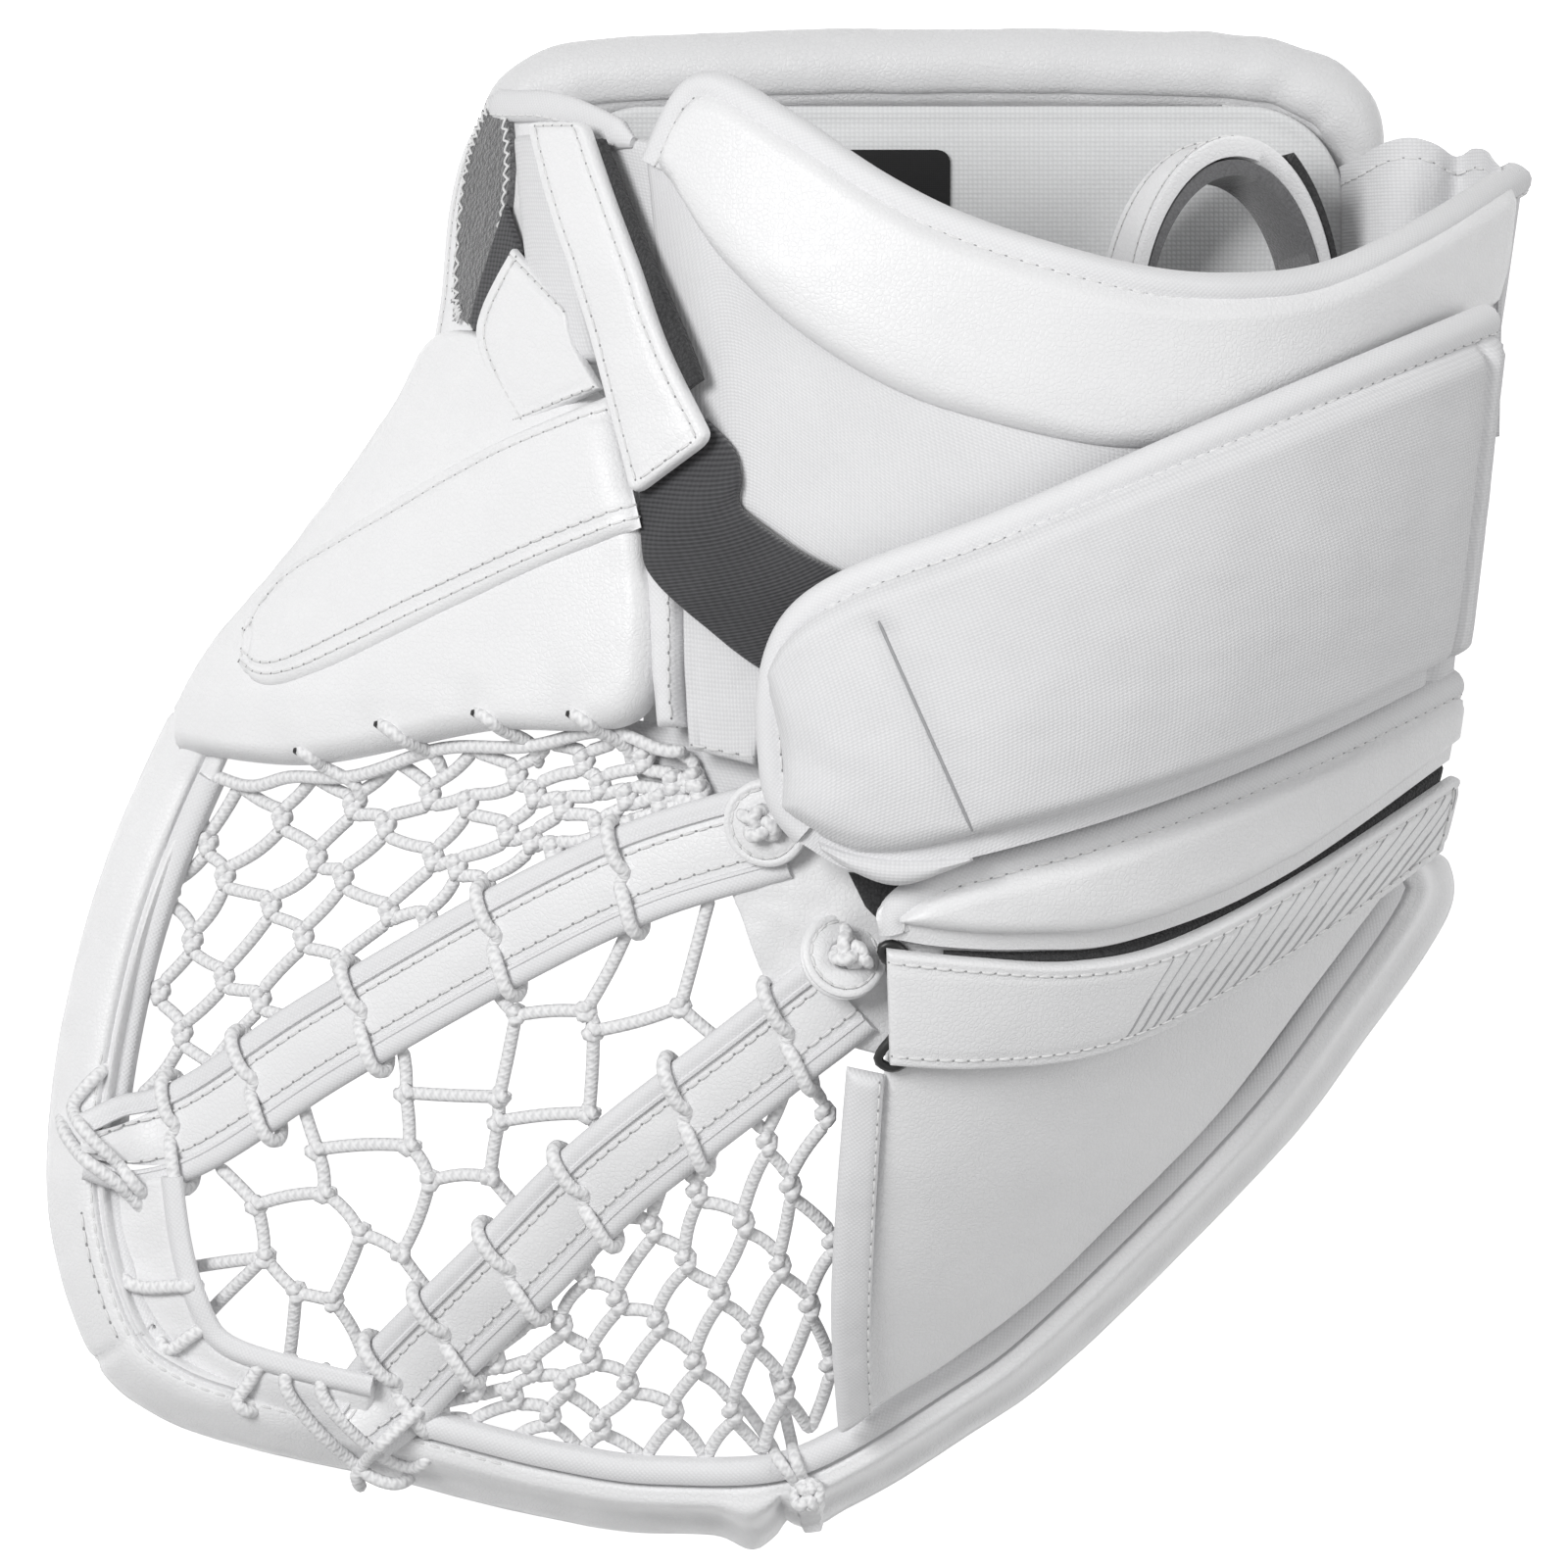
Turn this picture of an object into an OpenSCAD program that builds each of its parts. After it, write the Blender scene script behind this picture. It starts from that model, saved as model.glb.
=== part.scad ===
// Goalie catch glove, lying on its catching face: +Z out of the back of the hand,
// +Y toward the cuff, the thumb on the -X side, the fingers toward +X and -Y.
// Every soft panel is a closed slab laid over one crowned surface, skin().

/* [Overall] */
// height of the crown of the hand back over the rim
crown_h = 104; // [85:1:120]
// height of the rim above the resting plane
rim_z = 24; // [20:1:28]

/* [Panels] */
// thickness of the leather and woven skins
skin_t = 4; // [3:0.5:5]
// thickness of the backhand pad
pad_t = 12; // [9:0.5:15]
// thickness of the thumb pad
thumb_t = 9; // [7:0.5:11]
// thickness of the finger pad
finger_pad_t = 8; // [6:0.5:10]
// clearance between neighbouring layers
gap = 0.5; // [0.4:0.05:0.7]

/* [Straps and laces] */
// width of each T-strap of the pocket
t_strap_w = 23.5; // [18:0.5:26]
// thickness of each T-strap
t_strap_t = 3.4; // [2.5:0.1:4]
// diameter of the braided pocket lace
lace_d = 3.6; // [3:0.1:4.5]
// outside diameter of the leather washers
washer_d = 21; // [17:0.5:25]
// bore of the washers, passed by two runs of lace
washer_bore = 7.5; // [6:0.5:9]

/* [Cuff] */
// width of the palm side of the cuff
cuff_w = 205; // [175:1:230]
// thickness of the palm side of the cuff
cuff_t = 15; // [12:0.5:18]
// diameter of the roll along the end of the cuff
roll_d = 19; // [16:0.5:22]

/* [Hidden] */
$fn = 32;

cuff_cx = 36;

// ---- outline and crowned surface ----
// left and right outline, ridge line and ridge height against y
function xl(y) = lookup(y, [[-184, -30], [-177, -70], [-167, -112], [-157, -150], [-146, -166],
  [-125, -177], [-94, -180], [-47, -173], [-10, -162], [20, -152], [57, -124], [86, -104],
  [115, -93], [165, -82], [190, -80]]);
function xr(y) = lookup(y, [[-184, 8], [-157, 50], [-139, 72], [-92, 119], [-61, 143], [-28, 166],
  [0, 174], [28, 177], [112, 182], [150, 186], [190, 188]]);
function xpk(y) = lookup(y, [[-184, -6], [-120, 8], [-60, 22], [0, 32], [60, 45], [120, 52], [190, 55]]);
function hk(y) = lookup(y, [[-184, 0], [-165, 0.13], [-150, 0.25], [-120, 0.48], [-90, 0.66], [-60, 0.80],
  [-30, 0.90], [0, 0.95], [60, 1.0], [120, 1.02], [190, 0.95]]);
function pa(y) = lookup(y, [[-184, 1.6], [0, 1.8], [60, 2.2], [120, 2.6], [190, 2.7]]);
function pb(y) = lookup(y, [[-184, 1], [0, 1], [60, 0.9], [120, 0.82], [190, 0.8]]);
function xi(x, y) = min(0.985, x > xpk(y) ? (x - xpk(y)) / (xr(y) - xpk(y)) : (xpk(y) - x) / (xpk(y) - xl(y)));
edge_z = 6;
function fz0(x, y) = edge_z + (rim_z - edge_z + crown_h * hk(y)) * pow(1 - pow(xi(x, y), pa(y)), pb(y));
// averaged over a small square so the surface has no creases
function fz(x, y) = (fz0(x, y) * 2 + fz0(x - 5, y) + fz0(x + 5, y) + fz0(x, y - 5) + fz0(x, y + 5)) / 6;
function grad(x, y) = [(fz(x + 4, y) - fz(x - 4, y)) / 8, (fz(x, y + 4) - fz(x, y - 4)) / 8];
function nrm(x, y) = let (g = grad(x, y), v = [-g[0], -g[1], 1]) v / norm(v);
function skin(p, o) = [p[0], p[1], fz(p[0], p[1])] + nrm(p[0], p[1]) * o;
// foot of the plan point p that the outer face of a layer o passes over
function foot(p, o) = let (n = nrm(p[0], p[1]), q = p - [n[0], n[1]] * o, m = nrm(q[0], q[1]))
  p - [m[0], m[1]] * o;

// ---- curves ----
// smooth curve through a few points
function cr(p, t) = let (n = len(p) - 1, s = min(max(t, 0), 0.99999) * n, i = floor(s), f = s - i,
  a = p[max(i - 1, 0)], b = p[i], c = p[i + 1], d = p[min(i + 2, n)])
  0.5 * (2 * b + (c - a) * f + (2 * a - 5 * b + 4 * c - d) * f * f + (3 * b - a - 3 * c + d) * f * f * f);
function mix(a, b, t) = a * (1 - t) + b * t;
function unit(v) = v / norm(v);

// ---- solids ----
// closed slab between two grids of points
module slab(top, bot) {
  n = len(top); m = len(top[0]); k = n * m;
  pts = concat([for (r = top) for (p = r) p], [for (r = bot) for (p = r) p]);
  faces = concat(
    [for (i = [0 : n - 2]) for (j = [0 : m - 2]) each [
      [i * m + j, (i + 1) * m + j, (i + 1) * m + j + 1], [i * m + j, (i + 1) * m + j + 1, i * m + j + 1]]],
    [for (i = [0 : n - 2]) for (j = [0 : m - 2]) each [
      [k + i * m + j, k + (i + 1) * m + j + 1, k + (i + 1) * m + j],
      [k + i * m + j, k + i * m + j + 1, k + (i + 1) * m + j + 1]]],
    [for (i = [0 : n - 2]) each [
      [i * m, k + i * m, k + (i + 1) * m], [i * m, k + (i + 1) * m, (i + 1) * m],
      [i * m + m - 1, k + (i + 1) * m + m - 1, k + i * m + m - 1],
      [i * m + m - 1, (i + 1) * m + m - 1, k + (i + 1) * m + m - 1]]],
    [for (j = [0 : m - 2]) each [
      [j, k + j + 1, k + j], [j, j + 1, k + j + 1],
      [(n - 1) * m + j, k + (n - 1) * m + j, k + (n - 1) * m + j + 1],
      [(n - 1) * m + j, k + (n - 1) * m + j + 1, (n - 1) * m + j + 1]]]);
  polyhedron(points = pts, faces = faces);
}

// panel laid on the skin between plan curves a and b, from layer o0 to layer o1
module panel(a, b, ns, nt, o0, o1) {
  g = [for (i = [0 : ns]) [for (j = [0 : nt])
    let (p = mix(cr(a, i / ns), cr(b, i / ns), j / nt)) o1 > 0 ? foot(p, o1) : p]];
  slab([for (r = g) [for (p = r) skin(p, o1)]], [for (r = g) [for (p = r) skin(p, o0)]]);
}

// unit vector to the left of a plan curve
function side(c, t) = let (d = cr(c, min(t + 0.02, 1)) - cr(c, max(t - 0.02, 0))) unit([-d[1], d[0]]);

// section swept along a 3D path; each section is a closed loop of 3D points
module sweep(loops) {
  n = len(loops); m = len(loops[0]);
  pts = [for (l = loops) for (p = l) p];
  faces = concat(
    [for (i = [0 : n - 2]) for (j = [0 : m - 1]) each let (j2 = (j + 1) % m) [
      [i * m + j, (i + 1) * m + j, (i + 1) * m + j2], [i * m + j, (i + 1) * m + j2, i * m + j2]]],
    [for (j = [1 : m - 2]) [0, j, j + 1]],
    [for (j = [1 : m - 2]) [(n - 1) * m, (n - 1) * m + j + 1, (n - 1) * m + j]]);
  polyhedron(points = pts, faces = faces);
}

// rim band along the outline: its inner lip comes up under the skin
module band(c, t0, t1, n) {
  sweep([for (i = [0 : n]) let (t = mix(t0, t1, i / n), p = cr(c, t), q = -side(c, t), e = p + q * 17.5,
    f = max(rim_z - 4, min(rim_z + 14, fz(e[0], e[1]) - gap)),
    sect = [[0, 0], [0, 8], [5, rim_z - 5], [10, max(rim_z, f - 2)], [17.5, f], [18, f - 7], [13, 8], [11, 0]])
    [for (s = sect) [p[0] + q[0] * s[0], p[1] + q[1] * s[0], s[1]]]]);
}

// lace between two points, and a lace through a list of points
module seg(a, b, d = lace_d) {
  hull() { translate(a) sphere(d = d, $fn = 6); translate(b) sphere(d = d, $fn = 6); }
}
module run(pts, d = lace_d) { for (i = [0 : len(pts) - 2]) seg(pts[i], pts[i + 1], d); }

// ---- rim path, walked with the glove's inside on the left ----
rim_pts = [[160, -14], [163, -30], [143, -61], [119, -92], [72, -139], [47, -158], [8, -180],
  [-30, -183], [-60, -179], [-94, -170.5], [-128, -163], [-152, -155], [-168, -142], [-178, -115], [-180, -85],
  [-174, -47], [-164, -14], [-147, 24]];

// ---- cuff ----
module rounded(w, l, r, h) {
  linear_extrude(height = h) {
    translate([-w / 2, 0]) square([w, l - r]);
    translate([-w / 2 + r, 0]) square([w - 2 * r, l]);
    for (s = [-1, 1]) translate([s * (w / 2 - r), l - r]) circle(r = r);
  }
}
module palm_cuff() color("white")
  translate([cuff_cx, 62, 0]) rounded(cuff_w - 12, 100.5, 28, cuff_t);
module cuff_roll() color("white") {
  path = [[-68, 132], [-68, 150], [-61, 167], [-44, 172.5], [0, 174.5], [36, 175], [90, 174.5],
    [118, 172.5], [133, 166], [139.5, 156], [140.5, 145]];
  fit = (cuff_w - 205) / 2;
  c = [for (p = path) [p[0] + (p[0] > cuff_cx ? fit : -fit), p[1]]];
  r = roll_d / 2;
  sweep([for (i = [0 : 28]) let (t = i / 28, p = cr(c, t), q = side(c, t),
    e = max(0.35, min(1, 1.6 * sin(180 * t))))
    [for (a = [0 : 30 : 330]) [p[0] + q[0] * (r * e * cos(a) - 1), p[1] + q[1] * (r * e * cos(a) - 1),
      r * (1 + sin(a))]]]);
}
module cuff_liner() color("silver")
  translate([cuff_cx, 70, cuff_t + gap]) rounded(cuff_w - 18, 90, 24, 2.5);
module size_patch() color("black")
  translate([7, 132, cuff_t + 3 + gap + 0.3]) cube([33, 22, 0.8]);
module strap_arch(r0, r1, w0, w1) {
  u = [0, -0.5, 0.866]; v = [0, 0.866, 0.5];
  sweep([for (i = [0 : 20]) let (a = 9 * i, ca = cos(a), sa = sin(a))
    [for (k = [[r0, w0], [r1, w0], [r1, w1], [r0, w1]])
      [105 + (k[0] + 2) * ca, 108, cuff_t + 10.4] + v * (k[0] * 1.75 * sa) + u * k[1]]]);
}
module inner_strap() color("white") strap_arch(21, 23.4, -8, 8);
module inner_strap_lining() color("dimgray") strap_arch(18.8, 20.6, -7.5, 7.5);
module inner_strap_hook() color("dimgray") {
  u = [0, -0.5, 0.866]; v = [0, 0.866, 0.5];
  sweep([for (i = [0 : 7]) let (a = 8 + 7 * i, ca = cos(a), sa = sin(a))
    [for (k = [[23.8, -7], [25.4, -7], [25.4, 7], [23.8, 7]])
      [105 + (k[0] + 2) * ca, 108, cuff_t + 10.4] + v * (k[0] * 1.75 * sa) + u * k[1]]]);
}
module cuff_gusset() color("white") {
  x0 = cuff_cx + cuff_w / 2 - 5.4;
  g = [for (y = [84 : 8 : 140]) let (e = skin([163, y], -0.8))
    [[x0, y, 7], [x0 + 0.8, y, 16], [x0 + 10, y, 34], [x0 + 17, y, 23], [e[0] - 5, y, e[2] - 14], e]];
  slab(g, [for (r = g) [for (p = r) p + [1.6, 0, -1.8]]]);
}

// ---- back of the cuff ----
cuff_edge = [[-33, 148], [-21, 168], [0, 158], [24, 142], [47, 131], [82, 121], [106, 119], [129, 122],
  [154, 134], [178, 149]];
back_low = [[-27, 76], [-12, 66], [8, 52], [28, 46], [50, 50], [76, 60], [100, 70], [122, 78],
  [148, 88], [171, 102]];
band_low = [[-26, 140], [-18, 126], [0, 108], [24, 93], [47, 85], [76, 79], [98, 80], [124, 88],
  [149, 99], [174, 115]];
module back_cuff() color("whitesmoke") panel(cuff_edge, back_low, 22, 8, 0, skin_t);
module cuff_band() color("white")
  panel([for (i = [0 : 9]) mix(cuff_edge[i], band_low[i], 0.19)], band_low, 22, 5, skin_t + gap, skin_t + 5);
module cuff_binding() color("white")
  panel(cuff_edge, [for (i = [0 : 9]) mix(cuff_edge[i], band_low[i], 0.16)], 26, 2,
    skin_t + gap, skin_t + 5);

// ---- palm ----
function palm_z(x, y) = max(8, min(fz(x, y) - 39,
  mix(cuff_t + gap + 60 * pow(min(1, max(0, (61 - y) / 86)), 0.8), cuff_t + gap, pow(min(1, abs((x - 40) / 135)), 2.2))));
function fold_y(x) = 0.676 * x - 28.4;
module palm_grid(a, b, ns, nt, t) {
  g = [for (i = [0 : ns]) [for (j = [0 : nt]) let (p = mix(cr(a, i / ns), cr(b, i / ns), j / nt))
    [p[0], p[1], palm_z(p[0], p[1])]]];
  slab([for (r = g) [for (p = r) p + [0, 0, t]]], g);
}
module palm_heel() color("white")
  palm_grid([[-34, 66], [10, 67], [60, 67], [100, 67], [132, 67]],
    [for (x = [12, 42, 73, 103, 134]) [x, fold_y(x) + 0.4]], 12, 6, 5);
module thumb_palm() color("white")
  panel([[-143, 18], [-134, 32], [-114, 56], [-94, 84], [-82, 105]],
    [[-141, 12], [-117, 9], [-80, 15], [-42, 20], [-39, 58]], 12, 4, -20, -16);
module thumb_pad() color("white")
  panel([[-148, 18], [-139, 33], [-118, 59], [-97, 87], [-82, 108], [-58, 101]],
    [[-147, 11], [-118, 7], [-76, 14], [-38, 18], [-36, 58], [-40, 84]], 16, 6, 0, thumb_t);
module thumb_panel() color("white")
  panel([[-132, 39], [-121, 53], [-94, 69], [-66, 83]],
    [[-133, 28], [-121, 24], [-80, 42], [-40, 59]], 10, 3, thumb_t + gap, thumb_t + 2);
module thumb_stiffener() color("dimgray")
  panel([[-134, 28], [-120, 50], [-98, 76]], [[-130, 16], [-95, 20], [-48, 30]], 8, 3, -2.8, -gap);
module thumb_stall() color("gainsboro")
  panel([[-122, 30], [-104, 52], [-84, 76]], [[-114, 20], [-86, 28], [-50, 44]], 8, 3, -15.3, -4);

// ---- thumb side of the cuff ----
flap_out = [[-83, 113], [-80, 134], [-76, 152], [-68, 164]];
module thumb_flap() color("white")
  panel(flap_out, [[-56, 105], [-50, 122], [-45, 140], [-40, 152]], 8, 4, 0, 3);
module loop_patch() color("dimgray")
  panel([[-77, 119], [-75, 134], [-71, 150], [-64, 160]],
    [[-68, 116], [-64, 132], [-62, 146], [-60, 157]], 6, 2, 3 + gap, 5);
module flap_binding() color("white")
  panel([[-61, 164], [-54, 163], [-46, 158], [-41, 152]],
    [[-60, 159], [-54, 158], [-48, 153], [-44, 147]], 6, 1, 3 + gap, 6);
module wrist_pad() color("whitesmoke")
  panel([[-63, 108], [-61, 125], [-59, 142], [-57, 154]],
    [[-48, 103], [-49, 118], [-50, 136], [-51, 150]], 8, 3, 3 + gap, 8.5);
module leather_patch() color("white")
  panel([[-65, 124], [-74, 107], [-66, 92]], [[-52, 104], [-52, 98], [-49, 94]], 5, 3,
    thumb_t + gap, thumb_t + 2);
module thumb_binding() color("white")
  panel([[-30, 62], [-30, 40], [-30, 24], [-29, 13]], [[-24, 62], [-23, 40], [-23, 22], [-22, 13]], 8, 2,
    0, 3.8);
module web_panel() color("whitesmoke")
  panel([[-22, 60], [-21.5, 40], [-21.5, 22], [-21, 8]], [[-14, 56], [-6, 42], [-4, 24], [-8, 4]], 8, 3, 0, 3.8);

// ---- wrist strap ----
module wrist_elastic() color("dimgray")
  panel([[-30, 72], [-34, 54], [-22, 40], [-8, 27], [-2, 22]],
    [[-14, 86], [-13, 70], [0, 58], [10, 50], [16, 44]], 12, 4, skin_t + gap, skin_t + 3.5);
module wrist_hook() color("dimgray")
  panel([[-54, 154], [-49, 128], [-42, 104], [-32, 90]], [[-46, 152], [-37, 124], [-26, 102], [-20, 92]],
    10, 3, skin_t + 5, skin_t + 6.7);
module wrist_tab() color("white")
  panel([[-62, 157], [-55, 130], [-44, 102], [-32, 74], [-26, 70]],
    [[-49, 157], [-42, 132], [-31, 108], [-20, 90], [-19, 82]], 14, 3, skin_t + 7.3, skin_t + 10.3);

// ---- backhand pad ----
function seam_y(x) = lookup(x, [[-10, -4], [0, -14], [12, -21], [24, -24], [36, -21], [70, -14],
  [117, 2], [170, 27]]);
pad_top = [[-8, 24], [-1, 39], [14, 49], [47, 61], [94, 80], [142, 99], [174, 112]];
pad_low = [for (x = [-6, 4, 20, 48, 88, 126, 165]) [x, seam_y(x) + 1]];
module backhand_pad() color("whitesmoke")
  panel(pad_top, pad_low, 20, 9, skin_t + 9, skin_t + 9 + pad_t);
module backhand_foam() color("gainsboro")
  panel([[23, 38], [38, 46], [70, 58], [110, 74], [140, 86]], [[20, -8], [36, -8], [70, -1], [110, 12], [145, 28]],
    12, 5, skin_t + gap, skin_t + 8.4);

// ---- pocket ----
module rim_thumb() color("white") band(rim_pts, 0.7061, 0.968, 19);
module rim_bottom() color("white") band(rim_pts, 0.3674, 0.7045, 20);
module rim_fingers() color("white") band(rim_pts, 0, 0.3658, 22);
module rim_corner() color("white")
  panel([[-160, -102], [-156, -122], [-146, -137], [-128, -144], [-110, -147]],
    [[-147, -99], [-143, -114], [-134, -126], [-122, -133], [-105, -138]], 12, 2, 0.2, 3.4);
upper_c = [[-160, -91], [-118, -66], [-70, -38], [-35, -21], [-2, -11]];
lower_c = [[-101, -150], [-75, -127], [-42, -94], [-9, -68], [14, -50]];
// the first row of each strap follows the rim's inner lip
module t_strap(c, e0, e1) {
  g = [for (i = [0 : 14]) [for (j = [0 : 2]) i == 0 ? mix(e0, e1, j / 2)
    : cr(c, i / 14) + side(c, i / 14) * (t_strap_w * (0.5 - j / 2))]];
  slab([for (r = g) [for (p = r) skin(p, -0.4)]], [for (r = g) [for (p = r) skin(p, -0.4 - t_strap_t)]]);
}
module t_strap_upper() color("white") t_strap(upper_c, [-161.4, -77], [-161.4, -104]);
module t_strap_lower() color("white") t_strap(lower_c, [-113.2, -148.1], [-87.2, -154.2]);

module washer_at(p, o) {
  q = skin(p, o); n = nrm(p[0], p[1]);
  translate(q) rotate([0, acos(n[2]), atan2(n[1], n[0])]) difference() {
    cylinder(d = washer_d, h = 3);
    translate([0, 0, -1]) cylinder(d = washer_bore, h = 5);
  }
}
upper_w = [-2, -10];
lower_w = [13, -43];
module washer_upper() color("white") washer_at(upper_w, 0.1);
module washer_lower() color("white") washer_at(lower_w, 0.1);
module knot_at(p, o) {
  q = skin(p, o); n = nrm(p[0], p[1]);
  translate(q) rotate([0, acos(n[2]), atan2(n[1], n[0])])
    for (a = [0 : 72 : 359]) hull() {
      rotate([0, 0, a]) translate([3.4, 0, 0]) sphere(d = lace_d, $fn = 8);
      rotate([0, 0, a + 72]) translate([3.4, 0, 0.8]) sphere(d = lace_d, $fn = 8);
    }
}
module knot_upper() color("white") knot_at(upper_w, 3.3 + lace_d / 2);
module knot_lower() color("white") knot_at(lower_w, 3.3 + lace_d / 2);

// ---- netting ----
// cells between two plan curves; rows zigzag so the meshes come out as diamonds
module netting(a, b, ns, nt, o) {
  function pt(i, j) = skin(mix(cr(a, (i + (j % 2) * 0.5) / ns), cr(b, (i + (j % 2) * 0.5) / ns), j / nt), o);
  for (j = [0 : nt - 1]) for (i = [0 : ns - 1]) {
    seg(pt(i, j), pt(i, j + 1));
    if (j % 2 == 0) { if (i > 0) seg(pt(i, j), pt(i - 1, j + 1)); }
    else if (i < ns - 1) seg(pt(i, j), pt(i + 1, j + 1));
  }
}
module net_thumb() color("white")
  netting([[-134, 2], [-116, 2], [-90, 6], [-60, 9], [-34, 9], [-20, 4]],
    [[-154, -68], [-126, -53], [-96, -36], [-68, -20], [-42, -7], [-22, 0]], 8, 5, -6.2);
module net_middle() color("white")
  netting([[-146, -106], [-112, -82], [-76, -58], [-42, -41], [-10, -30]],
    [[-119, -146], [-92, -124], [-64, -97], [-34, -70], [-6, -46]], 6, 2, -6.2);
module net_fingers() color("white")
  netting([[-76, -152], [-56, -129], [-34, -106], [-10, -86], [4, -74]],
    [[-70, -160], [-50, -161], [-26, -161], [-6, -158], [8, -150]], 8, 5, -6.2);

// lace wound round a strap: over the front on a slant, and down past both edges
module winding(c, t0) {
  for (i = [0 : 4]) let (t = t0 + (0.78 - t0) / 4 * i, p = cr(c, t), q = side(c, t), d = [q[1], -q[0]], h = t_strap_w / 2) {
    run([skin(p + q * (h + 3) + d * 3, -2.2), skin(p + q * (h - 0.1) + d * 2, 2.2),
      skin(p - q * (h - 0.1) - d * 5, 2.2), skin(p - q * (h + 3) - d * 6, -2.2)]);
  }
}
module upper_lacing() color("white") winding(upper_c, 0.12);
module lower_lacing() color("white") winding(lower_c, 0.18);
module thumb_lacing() color("white")
  run([for (t = [0 : 0.1 : 1]) skin(cr([[-132, 7], [-116, 6], [-90, 10], [-62, 13], [-38, 15]], t), -2.3)]);

// ---- fingers ----
module palm_fingers() color("white")
  palm_grid([for (x = [30, 65, 99, 134]) [x, fold_y(x) - 0.4]], [[30, -122], [80, -100], [118, -58], [138, -26]], 12, 6, 5);
panel_top = [[27, -33], [50, -26], [84, -17], [120, -4], [160, 16]];
panel_low = [[17, -153.9], [37.2, -142.4], [60.3, -125.4], [82.3, -103.9], [105.3, -80.4], [127.3, -51.3], [145.3, -27.2]];
module finger_panel() color("white") panel(panel_top, panel_low, 14, 10, 0, skin_t);
module finger_binding() color("white")
  panel([[17, -74], [15, -100], [14.5, -130], [15, -154]], [[26, -74], [23, -100], [22, -130], [22, -148]],
    10, 1, skin_t + gap, skin_t + 3);
module finger_stiffener() color("dimgray")
  panel([[36, -40], [70, -36], [110, -20], [140, -4]], [[32, -120], [60, -106], [96, -76], [124, -44]], 8, 5,
    -3, -gap);
module finger_stalls() color("gainsboro")
  for (i = [0 : 3]) {
    a = [[50, -8], [76, 2], [102, 16], [126, 32]][i];
    b = [[44, -72], [78, -66], [104, -46], [124, -20]][i];
    hull() {
      translate(skin(a, -13.3)) sphere(d = 19, $fn = 12);
      translate(skin(b, -12.3)) sphere(d = 17, $fn = 12);
    }
  }
module finger_pad() color("white")
  panel([for (x = [23, 34, 52, 84, 126, 164]) [x, (x < 24 ? -31 : x < 35 ? -24 : seam_y(x) - 1)]],
    [[24, -35], [37, -38.5], [58, -39.5], [84, -37.5], [122, -22], [162, 6]], 16, 4,
    skin_t + gap, skin_t + finger_pad_t);
module finger_hook() color("dimgray")
  panel([[38, -40], [60, -41], [84, -39], [120, -24], [160, 3]],
    [[38, -58], [60, -58], [84, -54], [120, -38], [156, -12]], 14, 3, skin_t + gap, skin_t + 2.5);
module finger_strap() color("white")
  panel([[24, -39.5], [45, -41.5], [70, -42], [94, -36], [128, -18], [162, 4]],
    [[25, -67], [45, -68], [70, -66], [94, -58], [126, -40], [156, -19]], 16, 4,
    skin_t + 3.1, skin_t + 6.1);
module strap_loop() color("black") {
  ring = [[25, -38], [25, -53], [25, -69], [30, -69.5], [35, -69], [35, -53], [35, -38], [30, -37.5]];
  for (k = [0 : 7]) hull() for (e = [0, 1])
    translate(skin(ring[(k + e) % 8], skin_t + 1.7)) sphere(d = 2.2, $fn = 12);
}
module corner_tie() color("white") {
  p = cr(rim_pts, 0.3666); q = -side(rim_pts, 0.3666); e = p + q * 17.5;
  f = max(rim_z - 4, min(rim_z + 14, fz(e[0], e[1]) - gap));
  run([for (k = [[-2.8, 2], [-2.8, 9], [2, rim_z - 1.5], [9.5, max(rim_z, f - 2) + 3], [18.5, f + 3], [21, f - 5]])
    [p[0] + q[0] * k[0], p[1] + q[1] * k[0], k[1]]]);
}

// ---- assembly ----
palm_cuff();
cuff_roll();
cuff_liner();
size_patch();
inner_strap();
inner_strap_lining();
inner_strap_hook();
cuff_gusset();
back_cuff();
cuff_band();
cuff_binding();
palm_heel();
thumb_palm();
thumb_pad();
thumb_panel();
thumb_stall();
thumb_stiffener();
thumb_flap();
loop_patch();
flap_binding();
wrist_pad();
leather_patch();
thumb_binding();
web_panel();
wrist_elastic();
wrist_hook();
wrist_tab();
backhand_pad();
backhand_foam();
rim_thumb();
rim_corner();
t_strap_upper();
washer_upper();
knot_upper();
net_thumb();
net_middle();
thumb_lacing();
upper_lacing();
palm_fingers();
finger_panel();
finger_binding();
finger_stiffener();
finger_stalls();
finger_pad();
finger_hook();
finger_strap();
strap_loop();
rim_fingers();
rim_bottom();
t_strap_lower();
washer_lower();
knot_lower();
net_fingers();
lower_lacing();
corner_tie();
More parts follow.
